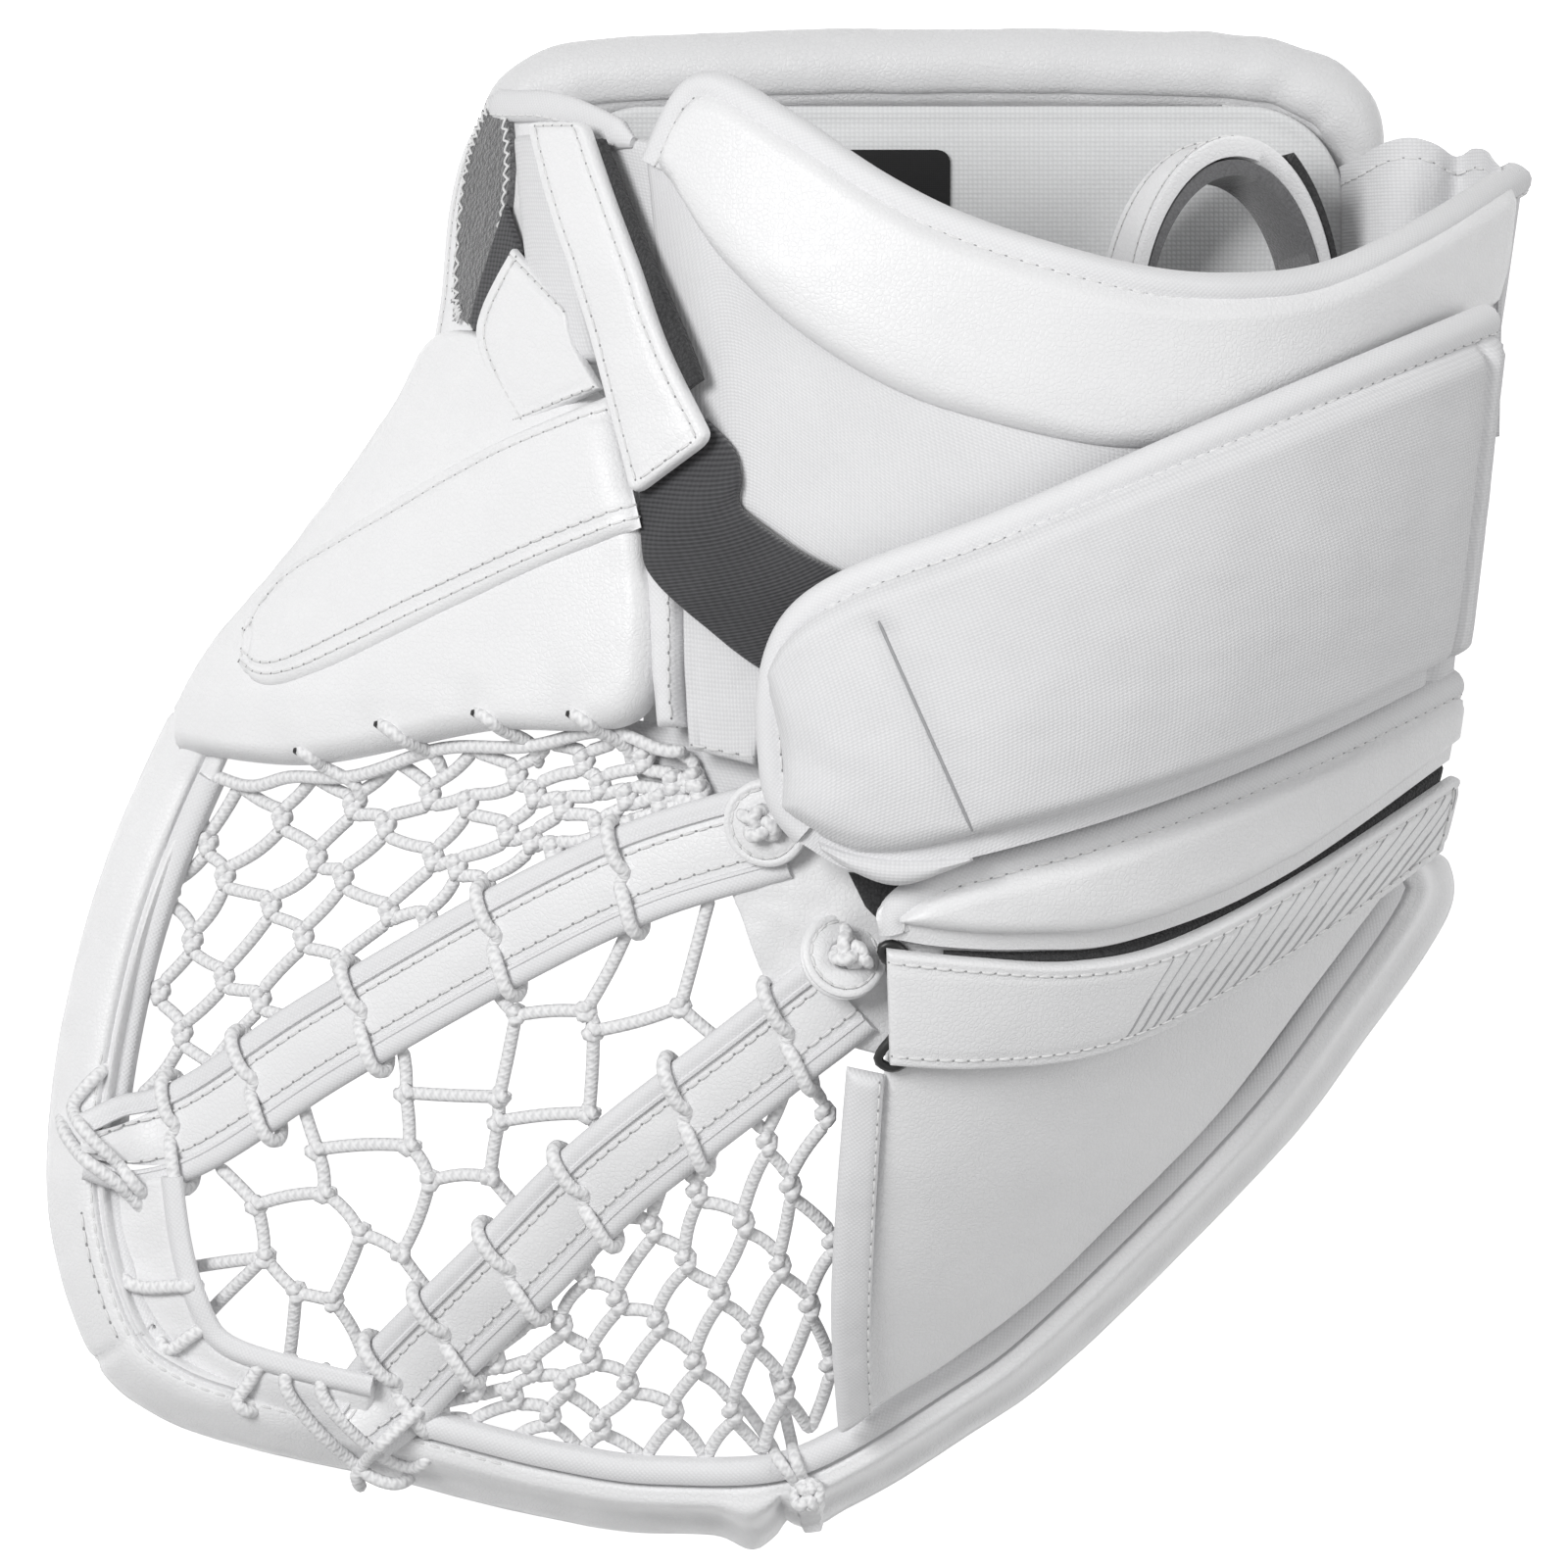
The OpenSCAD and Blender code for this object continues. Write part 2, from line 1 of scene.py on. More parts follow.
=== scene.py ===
import bpy
import math
import numpy as np
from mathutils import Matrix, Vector


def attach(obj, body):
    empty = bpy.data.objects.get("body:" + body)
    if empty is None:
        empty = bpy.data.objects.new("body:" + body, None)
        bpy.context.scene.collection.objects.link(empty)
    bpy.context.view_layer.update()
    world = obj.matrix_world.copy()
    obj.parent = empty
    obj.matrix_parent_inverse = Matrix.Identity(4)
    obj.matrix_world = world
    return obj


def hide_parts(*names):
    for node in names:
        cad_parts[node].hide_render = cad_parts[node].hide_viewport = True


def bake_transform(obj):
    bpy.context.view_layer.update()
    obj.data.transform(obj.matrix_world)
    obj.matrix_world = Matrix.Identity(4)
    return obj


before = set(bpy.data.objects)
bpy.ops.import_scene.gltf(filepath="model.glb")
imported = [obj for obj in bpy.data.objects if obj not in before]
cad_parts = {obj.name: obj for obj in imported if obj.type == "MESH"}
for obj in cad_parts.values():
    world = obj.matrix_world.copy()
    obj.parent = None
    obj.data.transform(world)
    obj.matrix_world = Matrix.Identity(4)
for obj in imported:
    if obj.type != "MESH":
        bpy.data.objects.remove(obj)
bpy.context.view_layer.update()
print("frame loaded:", len(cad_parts), "nodes")

mm = 0.001
twoPi = 2 * math.pi

# the glove's crowned shape, in mm: how its outline and its crest run from fingertips to cuff
crown = {
    "height": 104.0, "rim": 24.0, "edge": 6.0, "brink": 0.985,
    "left": [(-184, -30), (-177, -70), (-167, -112), (-157, -150), (-146, -166), (-125, -177), (-94, -180),
             (-47, -173), (-10, -162), (20, -152), (57, -124), (86, -104), (115, -93), (165, -82),
             (190, -80)],
    "right": [(-184, 8), (-157, 50), (-139, 72), (-92, 119), (-61, 143), (-28, 166), (0, 174), (28, 177),
              (112, 182), (150, 186), (190, 188)],
    "crest": [(-184, -6), (-120, 8), (-60, 22), (0, 32), (60, 45), (120, 52), (190, 55)],
    "rise": [(-184, 0), (-165, 0.13), (-150, 0.25), (-120, 0.48), (-90, 0.66), (-60, 0.80), (-30, 0.90),
             (0, 0.95), (60, 1.0), (120, 1.02), (190, 0.95)],
    "fall": [(-184, 1.6), (0, 1.8), (60, 2.2), (120, 2.6), (190, 2.7)],
    "round": [(-184, 1), (0, 1), (60, 0.9), (120, 0.82), (190, 0.8)],
}


def valueAt(rows, x):
    return np.interp(x, [r[0] for r in rows], [r[1] for r in rows])


def rawHeight(x, y):
    crest, left, right = (valueAt(crown[k], y) for k in ("crest", "left", "right"))
    share = np.clip(np.where(x > crest, (x - crest) / (right - crest), (crest - x) / (crest - left)), 0,
                    crown["brink"])
    full = crown["rim"] - crown["edge"] + crown["height"] * valueAt(crown["rise"], y)
    return crown["edge"] + full * (1 - share ** valueAt(crown["fall"], y)) ** valueAt(crown["round"], y)


reach = 230
ticks = np.arange(-reach, reach + 1.0)
planX, planY = np.meshgrid(ticks, ticks)
blur, rise = 5, 4  # how far the crown's creases are softened, and the half step of its slopes
heights = (rawHeight(planX, planY) * 2 + rawHeight(planX - blur, planY) + rawHeight(planX + blur, planY)
           + rawHeight(planX, planY - blur) + rawHeight(planX, planY + blur)) / 6
slopeX, slopeY = ((np.roll(heights, -rise, k) - np.roll(heights, rise, k)) / (2 * rise) for k in (1, 0))


def sampled(field, x, y):
    u = np.clip(np.asarray(x, float) + reach, 0, 2 * reach - 0.001)
    v = np.clip(np.asarray(y, float) + reach, 0, 2 * reach - 0.001)
    i, j = u.astype(int), v.astype(int)
    a, b = u - i, v - j
    low = field[j, i] * (1 - a) + field[j, i + 1] * a
    return low * (1 - b) + (field[j + 1, i] * (1 - a) + field[j + 1, i + 1] * a) * b


def skinUp(x, y):
    n = np.stack([-sampled(slopeX, x, y), -sampled(slopeY, x, y), np.ones_like(np.asarray(x, float))], -1)
    return n / np.linalg.norm(n, axis=-1, keepdims=True)


def onSkin(x, y, lift):
    x, y = np.asarray(x, float), np.asarray(y, float)
    lift = np.broadcast_to(np.asarray(lift, float), x.shape)
    return np.stack([x, y, sampled(heights, x, y)], -1) + skinUp(x, y) * lift[..., None]


def footOf(x, y, lift):
    # the plan point under which a layer lifted this far passes over (x, y)
    n = skinUp(x, y)
    m = skinUp(x - n[..., 0] * lift, y - n[..., 1] * lift)
    return x - m[..., 0] * lift, y - m[..., 1] * lift


def curveThrough(points, t):
    # smooth curve through a few points, t from 0 to 1
    p = np.asarray(points, float)
    n = len(p) - 1
    s = np.clip(np.asarray(t, float), 0, 0.99999) * n
    i = np.floor(s).astype(int)
    f = (s - i)[..., None]
    a, b, c, d = p[np.maximum(i - 1, 0)], p[i], p[i + 1], p[np.minimum(i + 2, n)]
    return 0.5 * (2 * b + (c - a) * f + (2 * a - 5 * b + 4 * c - d) * f ** 2
                  + (3 * b - a - 3 * c + d) * f ** 3)


def unitOf(v):
    return v / np.maximum(np.linalg.norm(v, axis=-1, keepdims=True), 1e-9)


def waves(x, y, size, seed, octaves=3):
    # soft seeded unevenness, about -1 to 1, of features this many mm across
    total, gain = 0, 1.0
    for k in range(octaves):
        for m in range(3):
            a = seed * 1.7 + k * 2.3 + m * 2.1
            w = twoPi / (size / 1.9 ** k) * (0.8 + 0.13 * m)
            total = total + gain * np.sin((x * math.cos(a) + y * math.sin(a)) * w + a * 5.3
                                          + 1.6 * np.sin((x * math.sin(a) - y * math.cos(a)) * w * 0.6 + a))
        gain *= 0.5
    return total / 4.2


def smoothed(values, times):
    v = np.array(values, float)
    for _ in range(times):
        v[1:-1] = (v[:-2] + 2 * v[1:-1] + v[2:]) / 4
    return v


def steady(value, low, high):
    # smooth step from 0 at low to 1 at high
    s = np.clip((value - low) / (high - low), 0, 1)
    return s * s * (3 - 2 * s)


def groove(distance, width):
    return np.exp(-(distance / width) ** 2)


# finishes
class Wire:
    # a node's output; arithmetic on it adds Math nodes
    def __init__(self, finish, socket):
        self.finish, self.socket = finish, socket

    def op(self, kind, *others):
        values = {0: self, **{k + 1: o for k, o in enumerate(others)}}
        return self.finish.node("ShaderNodeMath", {"operation": kind}, values)

    def __add__(self, other): return self.op("ADD", other)
    def __radd__(self, other): return self.op("ADD", other)
    def __mul__(self, other): return self.op("MULTIPLY", other)
    def __rmul__(self, other): return self.op("MULTIPLY", other)
    def __sub__(self, other): return self.op("SUBTRACT", other)
    def __truediv__(self, other): return self.op("DIVIDE", other)
    def __pow__(self, other): return self.op("POWER", other)
    def __neg__(self): return self.op("MULTIPLY", -1)
    def __abs__(self): return self.op("ABSOLUTE")
    def __rsub__(self, other): return (-self) + other
    def wave(self): return self.op("SINE")
    def atMost(self, other): return self.op("MINIMUM", other)
    def atLeast(self, other): return self.op("MAXIMUM", other)


class Finish:
    def __init__(self, name, color, rough, **constants):
        self.material = bpy.data.materials.new(name)
        self.material.use_nodes = True
        self.tree = self.material.node_tree
        self.shader = self.tree.nodes["Principled BSDF"]
        self.shader.inputs["Base Color"].default_value = (*color, 1)
        self.shader.inputs["Roughness"].default_value = rough
        for key, value in constants.items():
            self.shader.inputs[key.replace("_", " ")].default_value = value
        self.material.diffuse_color = (*color, 1)

    def node(self, kind, settings=None, values=None, out=0):
        n = self.tree.nodes.new(kind)
        for key, value in (settings or {}).items():
            if key == "stops":
                for k, (place, shade) in enumerate(value):
                    stop = n.color_ramp.elements[k] if k < 2 else n.color_ramp.elements.new(place)
                    stop.position, stop.color = place, (shade, shade, shade, 1)
            else:
                setattr(n, key, value)
        for key, value in (values or {}).items():
            self.feed(n.inputs[key], value)
        return Wire(self, n.outputs[out])

    def feed(self, socket, value):
        if isinstance(value, Wire):
            self.tree.links.new(value.socket, socket)
        else:
            socket.default_value = value

    def place(self):
        return self.node("ShaderNodeTexCoord", out="Object")

    def follow(self):
        # along and across the piece, in mm
        both = self.node("ShaderNodeUVMap", {"uv_map": "follow"})
        split = self.node("ShaderNodeSeparateXYZ", values={0: both})
        return Wire(self, split.socket.node.outputs[0]) * 1000, Wire(self,
                                                                     split.socket.node.outputs[1]) * 1000

    def noise(self, where, scale, detail=3, rough=0.5):
        return self.node("ShaderNodeTexNoise", values={"Vector": where, "Scale": scale, "Detail": detail,
                                                       "Roughness": rough})

    def cells(self, where, scale, feature="F1", spread=1.0):
        return self.node("ShaderNodeTexVoronoi", {"feature": feature},
                         {"Vector": where, "Scale": scale, "Randomness": spread})

    def tint(self, factor, first, second):
        n = self.tree.nodes.new("ShaderNodeMix")
        n.data_type = "RGBA"
        self.feed(n.inputs[0], factor)
        for socket, value in ((n.inputs[6], first), (n.inputs[7], second)):
            self.feed(socket, value if isinstance(value, Wire) else (*value, 1))
        return Wire(self, n.outputs[2])

    def bump(self, height, depth, under=None):
        values = {"Height": height, "Distance": depth * mm, "Strength": 1.0}
        if under is not None:
            values["Normal"] = under
        return self.node("ShaderNodeBump", values=values)

    def done(self, color=None, rough=None, normal=None):
        for name, value in (("Base Color", color), ("Roughness", rough), ("Normal", normal)):
            if value is not None:
                self.feed(self.shader.inputs[name], value)
        return self.material


def leather(name, light, dark, grain=1.0, depth=0.05, rough=0.42):
    f = Finish(name, light, rough, Specular_IOR_Level=0.4, Coat_Weight=0.06, Coat_Roughness=0.35)
    place = f.place()
    cell = f.cells(place, 800 * grain, "DISTANCE_TO_EDGE", 0.9)
    pore = (cell * 5).atMost(1)
    fine = f.noise(place, 1500 * grain, 2)
    broad = f.noise(place, 26, 3, 0.55)
    cloud = f.noise(place, 150, 3, 0.6)
    height = pore * 0.55 + fine * 0.5 + cloud * 1.0
    # shade darkens the tint where the pores sink, which is painted shade in the grain's hollows; broad and
    # cloud add random tone
    shade = broad * 0.55 + (1 - pore) * 0.16 + cloud * 0.2
    return f.done(f.tint(shade.atMost(1), light, dark), cloud * 0.16 + (rough - 0.1) + pore * 0.04,
                  f.bump(height, depth * 2))


def woven(name, light, dark, pitch, tilt=0.0, depth=0.12, rough=0.75, sheen=0.25, plain=True):
    # threads crossing over and under each other, on the piece's own along and across
    f = Finish(name, light, rough, Sheen_Weight=sheen, Sheen_Roughness=0.5, Specular_IOR_Level=0.25)
    u, v = f.follow()
    a = u * math.cos(tilt) + v * math.sin(tilt)
    b = v * math.cos(tilt) - u * math.sin(tilt)
    warp = (a * (twoPi / pitch[0])).wave()
    weft = (b * (twoPi / pitch[1])).wave()
    if plain:
        cross = (a * (math.pi / pitch[0])).wave() * (b * (math.pi / pitch[1])).wave()
        height = abs(cross) * 0.7 + weft * 0.18 + warp * 0.1
    else:
        height = weft * 0.45 + warp * 0.1 + 0.4
    fuzz = f.noise(f.place(), 900, 2)
    cloud = f.noise(f.place(), 40, 3, 0.6)
    # the tint is darker where the threads dip, which is painted shade between the threads; fuzz and cloud add
    # random tone
    shade = (1 - height) * 0.55 + fuzz * 0.2 + cloud * 0.35 - 0.15
    return f.done(f.tint(shade.atLeast(0).atMost(1), light, dark), None,
                  f.bump(height + fuzz * 0.35, depth))


braid = {"girth": 3.4, "turn": 2.3}


def braided(name, light, dark):
    # round braid: strands crossing both ways round the lace, u along and v round it
    f = Finish(name, light, 0.62, Sheen_Weight=0.2, Specular_IOR_Level=0.3)
    u, v = f.follow()
    turn = v * (twoPi / braid["girth"])
    one = (u * (twoPi / braid["turn"]) + turn * 2.0).wave()
    two = (u * (twoPi / braid["turn"]) - turn * 2.0).wave()
    pick = (u * (2 * twoPi / braid["turn"])).wave() * (turn * 4).wave()
    strand = one.atLeast(two)
    fuzz = f.noise(f.place(), 1600, 2)
    height = strand * 0.5 + pick * 0.25 + fuzz * 0.3 + 0.3
    # the tint is darker where the strands lie low, which is painted shade between the strands
    return f.done(f.tint((0.75 - height * 0.75).atLeast(0).atMost(1), light, dark), None,
                  f.bump(height, 0.16))


def fuzzy(name, light, dark, scale, depth, sheen=0.5, rough=0.95):
    f = Finish(name, light, rough, Sheen_Weight=sheen, Sheen_Roughness=0.6, Specular_IOR_Level=0.15)
    place = f.place()
    tuft = f.cells(place, scale)
    hair = f.noise(place, scale * 2.1, 4, 0.7)
    cloud = f.noise(place, 60, 3)
    # the tint is darker between the tufts, where the bump lies low, which is painted shade; hair and cloud
    # add random tone
    shade = tuft * 0.6 + hair * 0.55 + cloud * 0.5 - 0.4
    return f.done(f.tint(shade.atLeast(0).atMost(1), light, dark), None, f.bump(hair * 0.7 - tuft, depth))


def plastic(name, color, rough):
    f = Finish(name, color, rough, Specular_IOR_Level=0.5)
    place = f.place()
    grain = f.noise(place, 700, 3)
    scuff = f.noise(place, 60, 4, 0.65)
    worn = tuple(min(1, c * 1.5 + 0.02) for c in color)
    return f.done(f.tint((scuff * 1.4 - 0.5).atLeast(0).atMost(1), color, worn),
                  scuff * 0.2 + (rough - 0.1), f.bump(grain, 0.03))


def foam(name, color):
    f = Finish(name, color, 0.85, Specular_IOR_Level=0.2)
    place = f.place()
    pore = f.cells(place, 1100, "DISTANCE_TO_EDGE")
    dark = tuple(c * 0.7 for c in color)
    # the tint is darker at the pores' edges, where the bump lies low, which is painted shade in the pores
    return f.done(f.tint((1 - pore * 4).atLeast(0), color, dark), None, f.bump(pore, 0.2))


def strokes(name, light, dark):
    f = Finish(name, light, 0.5, Specular_IOR_Level=0.3)
    return f.done(f.tint(f.noise(f.place(), 900, 3), light, dark), None,
                  f.bump(f.noise(f.place(), 1400, 2), 0.03))


finishes = {
    "leather_white": leather("leatherWhite", (0.83, 0.83, 0.835), (0.73, 0.73, 0.74)),
    "leather_inner": leather("leatherInner", (0.76, 0.76, 0.76), (0.66, 0.66, 0.67), grain=0.8, depth=0.07),
    "woven_white": woven("cordura", (0.80, 0.80, 0.81), (0.60, 0.60, 0.61), (1.1, 0.85), depth=0.10),
    "binding_white": woven("bindingTape", (0.80, 0.80, 0.81), (0.68, 0.68, 0.69), (0.85, 0.85), tilt=0.78,
                           depth=0.08),
    "mesh_liner": woven("meshLiner", (0.75, 0.755, 0.76), (0.56, 0.565, 0.57), (1.15, 1.15), depth=0.12),
    "lace_white": braided("lace", (0.83, 0.83, 0.835), (0.60, 0.60, 0.61)),
    "elastic_dark": woven("elastic", (0.10, 0.10, 0.105), (0.016, 0.016, 0.018), (1.7, 1.05), tilt=1.25,
                          depth=0.25, sheen=0.25, plain=False),
    "loop_pile": fuzzy("loopPile", (0.17, 0.17, 0.175), (0.03, 0.03, 0.032), 900, 0.7),
    "hook_tape": fuzzy("hookTape", (0.07, 0.07, 0.072), (0.012, 0.012, 0.013), 1300, 0.4, 0.15),
    "suede_dark": fuzzy("suede", (0.17, 0.17, 0.175), (0.07, 0.07, 0.072), 1500, 0.15),
    "plastic_black": plastic("strapLoopPlastic", (0.02, 0.02, 0.02), 0.4),
    "foam_grey": foam("foam", (0.55, 0.55, 0.57)),
    "stiffener": plastic("stiffenerSheet", (0.2, 0.2, 0.22), 0.5),
    "label_black": woven("labelCloth", (0.02, 0.02, 0.021), (0.006, 0.006, 0.006), (0.5, 0.5), depth=0.03,
                         sheen=0.05),
}
# the same white leather as leatherWhite, made darker: painted shade for the roll, which gets less light
shadedRollLeather = leather("shadedRollLeather", (0.72, 0.72, 0.725), (0.63, 0.63, 0.64), depth=0.06)
thread = strokes("thread", (0.80, 0.80, 0.80), (0.62, 0.62, 0.62))
# near-black for the lace holes: painted shade inside them
eyeletShadeDark = strokes("eyelet", (0.012, 0.012, 0.012), (0.03, 0.03, 0.03))
seamShade = strokes("seamShade", (0.30, 0.30, 0.31), (0.38, 0.38, 0.39))
# dark grey for the needle holes: painted shade inside them
needleHoleShadeGrey = strokes("needleHole", (0.24, 0.24, 0.245), (0.34, 0.34, 0.34))
hashGrey = strokes("hashMark", (0.44, 0.44, 0.45), (0.36, 0.36, 0.37))
print("finishes ready")


# making pieces
def deselect():
    if bpy.context.object and bpy.context.object.mode != "OBJECT":
        bpy.ops.object.mode_set(mode="OBJECT")
    bpy.ops.object.select_all(action="DESELECT")


def activate(obj):
    deselect()
    obj.select_set(True)
    bpy.context.view_layer.objects.active = obj


def coords(obj):
    co = np.empty(len(obj.data.vertices) * 3)
    obj.data.vertices.foreach_get("co", co)
    return co.reshape(-1, 3)


def setCoords(obj, co):
    obj.data.vertices.foreach_set("co", np.ascontiguousarray(co, float).ravel())
    obj.data.update()


def meshObject(name, verts, faces):
    mesh = bpy.data.meshes.new(name)
    mesh.from_pydata((np.asarray(verts) * mm).tolist(), [], faces)
    obj = bpy.data.objects.new(name, mesh)
    bpy.context.scene.collection.objects.link(obj)
    return obj


def finishPiece(obj, name, slotName, body, nodes=(), material=None, smooth=50):
    # a piece stands for the CAD node of its own name, unless it is given others
    obj.name = obj.data.name = name
    obj.data.materials.clear()
    obj.data.materials.append(material or finishes[slotName])
    activate(obj)
    bpy.ops.object.shade_smooth_by_angle(angle=math.radians(smooth))
    if body:
        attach(obj, body)
    ownNode = "".join("_" + c.lower() if c.isupper() else c for c in name)
    nodes = nodes or [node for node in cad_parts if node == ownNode]
    if nodes:
        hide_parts(*nodes)
    return obj


def gridObject(rows, columns, thick):
    # flat grid, extruded once when it has to be a closed slab; gives back each vertex's row, column and layer
    deselect()
    bpy.ops.mesh.primitive_grid_add(x_subdivisions=rows - 1, y_subdivisions=columns - 1, size=2)
    obj = bpy.context.object
    if thick:
        bpy.ops.object.mode_set(mode="EDIT")
        bpy.ops.mesh.select_all(action="SELECT")
        bpy.ops.mesh.extrude_region_move(TRANSFORM_OT_translate={"value": (0, 0, 1)})
        bpy.ops.mesh.select_all(action="SELECT")
        bpy.ops.mesh.normals_make_consistent(inside=False)
        bpy.ops.object.mode_set(mode="OBJECT")
    co = coords(obj)
    i = np.rint((co[:, 0] + 1) / 2 * (rows - 1)).astype(int)
    j = np.rint((co[:, 1] + 1) / 2 * (columns - 1)).astype(int)
    return obj, i, j, co[:, 2] > 0.5


def writeFollow(obj, perVertex):
    # the along and across map, from one value pair for each vertex
    layer = obj.data.uv_layers.get("follow") or obj.data.uv_layers.new(name="follow")
    loops = np.empty(len(obj.data.loops), int)
    obj.data.loops.foreach_get("vertex_index", loops)
    layer.data.foreach_set("uv", np.ascontiguousarray(perVertex[loops] * mm, float).ravel())
    for other in [l for l in obj.data.uv_layers if l.name != "follow"]:
        obj.data.uv_layers.remove(other)


def fixNormals(obj, merge=0.0):
    activate(obj)
    bpy.ops.object.mode_set(mode="EDIT")
    bpy.ops.mesh.select_all(action="SELECT")
    if merge:
        bpy.ops.mesh.remove_doubles(threshold=merge)
    bpy.ops.mesh.normals_make_consistent(inside=False)
    bpy.ops.object.mode_set(mode="OBJECT")


def spread(count, length, edge):
    # shares from 0 to 1, with extra rows close to both ends where an edge is rounded
    if edge <= 0 or length < edge * 3:
        return np.linspace(0, 1, count + 1)
    inner = np.linspace(edge / length, 1 - edge / length, max(2, count + 1))
    ends = np.array([0, 0.12, 0.32, 0.62]) * edge / length
    return np.concatenate([ends, inner, 1 - ends[::-1]])


def lengthsOf(grid):
    along = np.zeros(grid.shape[:2])
    across = np.zeros(grid.shape[:2])
    along[1:] = np.cumsum(np.linalg.norm(np.diff(grid, axis=0), axis=-1), 0)
    across[:, 1:] = np.cumsum(np.linalg.norm(np.diff(grid, axis=1), axis=-1), 1)
    return along, across


def slabObject(top, low, along, across, deep=0.0):
    # closed slab between two grids of points
    obj, i, j, upper = gridObject(*top.shape[:2], True)
    setCoords(obj, np.where(upper[:, None], top[i, j], low[i, j]) * mm)
    writeFollow(obj, np.stack([along[i, j], across[i, j] + np.where(upper, 0, deep)], -1))
    fixNormals(obj)
    return obj


def quarterRound(distance, edge):
    return np.sqrt(np.clip(1 - (1 - np.clip(distance / edge, 0, 1)) ** 2, 0, 1))


def cornerPull(dx, dy, radius):
    # shares of the radius left to both sides, and how far a corner draws them in
    px, py = np.clip(1 - dx / radius, 0, 1), np.clip(1 - dy / radius, 0, 1)
    pull = np.where((px > 0) & (py > 0), np.maximum(px, py) / np.maximum(np.hypot(px, py), 1e-9), 1)
    return px, py, pull


def panelGrid(job):
    # rows of plan points between two plan curves, with rounded corners where asked
    upper, lower, cell, edge = job["upper"], job["lower"], job["cell"], job["edge"]
    look = np.linspace(0, 1, 40)
    a, b = curveThrough(upper, look), curveThrough(lower, look)
    longSide = max(np.linalg.norm(np.diff(line, axis=0), axis=1).sum() for line in (a, b))
    wide = np.linalg.norm(a - b, axis=1).max()
    s = spread(max(3, int(longSide / cell)), longSide, edge)
    t = spread(max(2, int(wide / cell)), wide, edge)
    ss, tt = np.meshgrid(s, t, indexing="ij")
    job["sides"] = (longSide, wide)
    if "corner" in job:
        r = job["corner"]
        px, py, pull = cornerPull(np.minimum(ss, 1 - ss) * longSide, np.minimum(tt, 1 - tt) * wide, r)
        left, top = ss < 0.5, tt < 0.5
        for label, mask in (("a0", left & top), ("a1", ~left & top), ("b0", left & ~top),
                            ("b1", ~left & ~top)):
            if label in job.get("square", ()):
                pull = np.where(mask, 1, pull)
        nx, ny = r * (1 - px * pull), r * (1 - py * pull)
        ss = np.where(px > 0, np.where(left, nx, longSide - nx) / longSide, ss)
        tt = np.where(py > 0, np.where(top, ny, wide - ny) / wide, tt)
    p = curveThrough(upper, ss) * (1 - tt[..., None]) + curveThrough(lower, ss) * tt[..., None]
    return ss, tt, p[..., 0], p[..., 1]


def relief(job, s, t, x, y, gap):
    # what lifts and sinks a panel's top: ripple, hump across, furrows beside its edges, and its own shape
    size, seed, height, *octaves = job.get("ripple", (30, 1, 0))
    lift = waves(x, y, size, seed, *octaves) * height
    if "calm" in job:
        lift = lift * steady(gap["edge"], *job["calm"])
    lift = lift + job.get("hump", 0) * np.sin(math.pi * t)
    for side, inset, wide, deep in job.get("furrows", ()):
        lift = lift - deep * groove(gap[side] - inset, wide)
    return lift + (job["shape"](s, t, x, y, gap) if "shape" in job else 0)


def panel(job):
    # a slab lying on the skin: flat below, with rounded edges, and its relief on top
    ss, tt, x, y = panelGrid(job)
    low, high, edge, flange = job["low"], job["high"], job["edge"], job.get("flange", 0.0)
    if high > 0 and "raw" not in job:
        x, y = footOf(x, y, high)
    along, across = lengthsOf(onSkin(x, y, high))
    gap = {"s0": along, "s1": along[-1:] - along, "t0": across, "t1": across[:, -1:] - across}
    near = np.minimum.reduce([gap[side] + (flange if side in job.get("bare", ()) else 0) for side in gap])
    gap.update(s=np.minimum(gap["s0"], gap["s1"]), t=np.minimum(gap["t0"], gap["t1"]), edge=near)
    thin = job.get("thin", 0.25)
    top = low + (high - low) * (thin + (1 - thin) * quarterRound(near - flange, edge))
    top = np.maximum(top + relief(job, ss, tt, x, y, gap), low + 0.15)
    bottom = low + (job["under"](ss, tt, x, y, gap) if "under" in job else 0 * ss)
    job["s"], job["t"], job["top"], job["plan"] = ss, tt, onSkin(x, y, top), (x, y)
    obj = slabObject(job["top"], onSkin(x, y, bottom), along, across, high - low)
    finishPiece(obj, job["name"], job["slot"], job["body"])
    for seam in job.get("seams", ()):
        sewAlong(job, *seam)
    return obj


def spotOn(job, s, t):
    # point and up direction on a panel's top at shares s and t
    grid, (rows, columns) = job["top"], job["s"].shape
    i = np.clip(np.interp(s, job["s"][:, columns // 2], np.arange(rows)), 0, rows - 1.001)
    j = np.clip(np.interp(t, job["t"][rows // 2], np.arange(columns)), 0, columns - 1.001)
    i0, j0 = i.astype(int), j.astype(int)
    a, b = (i - i0)[..., None], (j - j0)[..., None]
    p00, p10, p01, p11 = grid[i0, j0], grid[i0 + 1, j0], grid[i0, j0 + 1], grid[i0 + 1, j0 + 1]
    p = (p00 * (1 - a) + p10 * a) * (1 - b) + (p01 * (1 - a) + p11 * a) * b
    n = unitOf(np.cross(p10 - p00 + p11 - p01, p01 - p00 + p11 - p10))
    return p, np.where(n[..., 2:3] < 0, -n, n)


def resample(points, pitch):
    p = np.asarray(points, float)
    steps = np.linalg.norm(np.diff(p, axis=0), axis=1)
    travel = np.concatenate([[0], np.cumsum(steps)])
    count = max(2, int(round(travel[-1] / pitch)) + 1)
    at = np.linspace(0, travel[-1], count)
    return np.stack([np.interp(at, travel, p[:, k]) for k in range(p.shape[1])], -1), at


stitchSize = {"length": 3.1, "pitch": 3.8, "thick": 0.34, "hole": 0.34}
stitchBank = {}


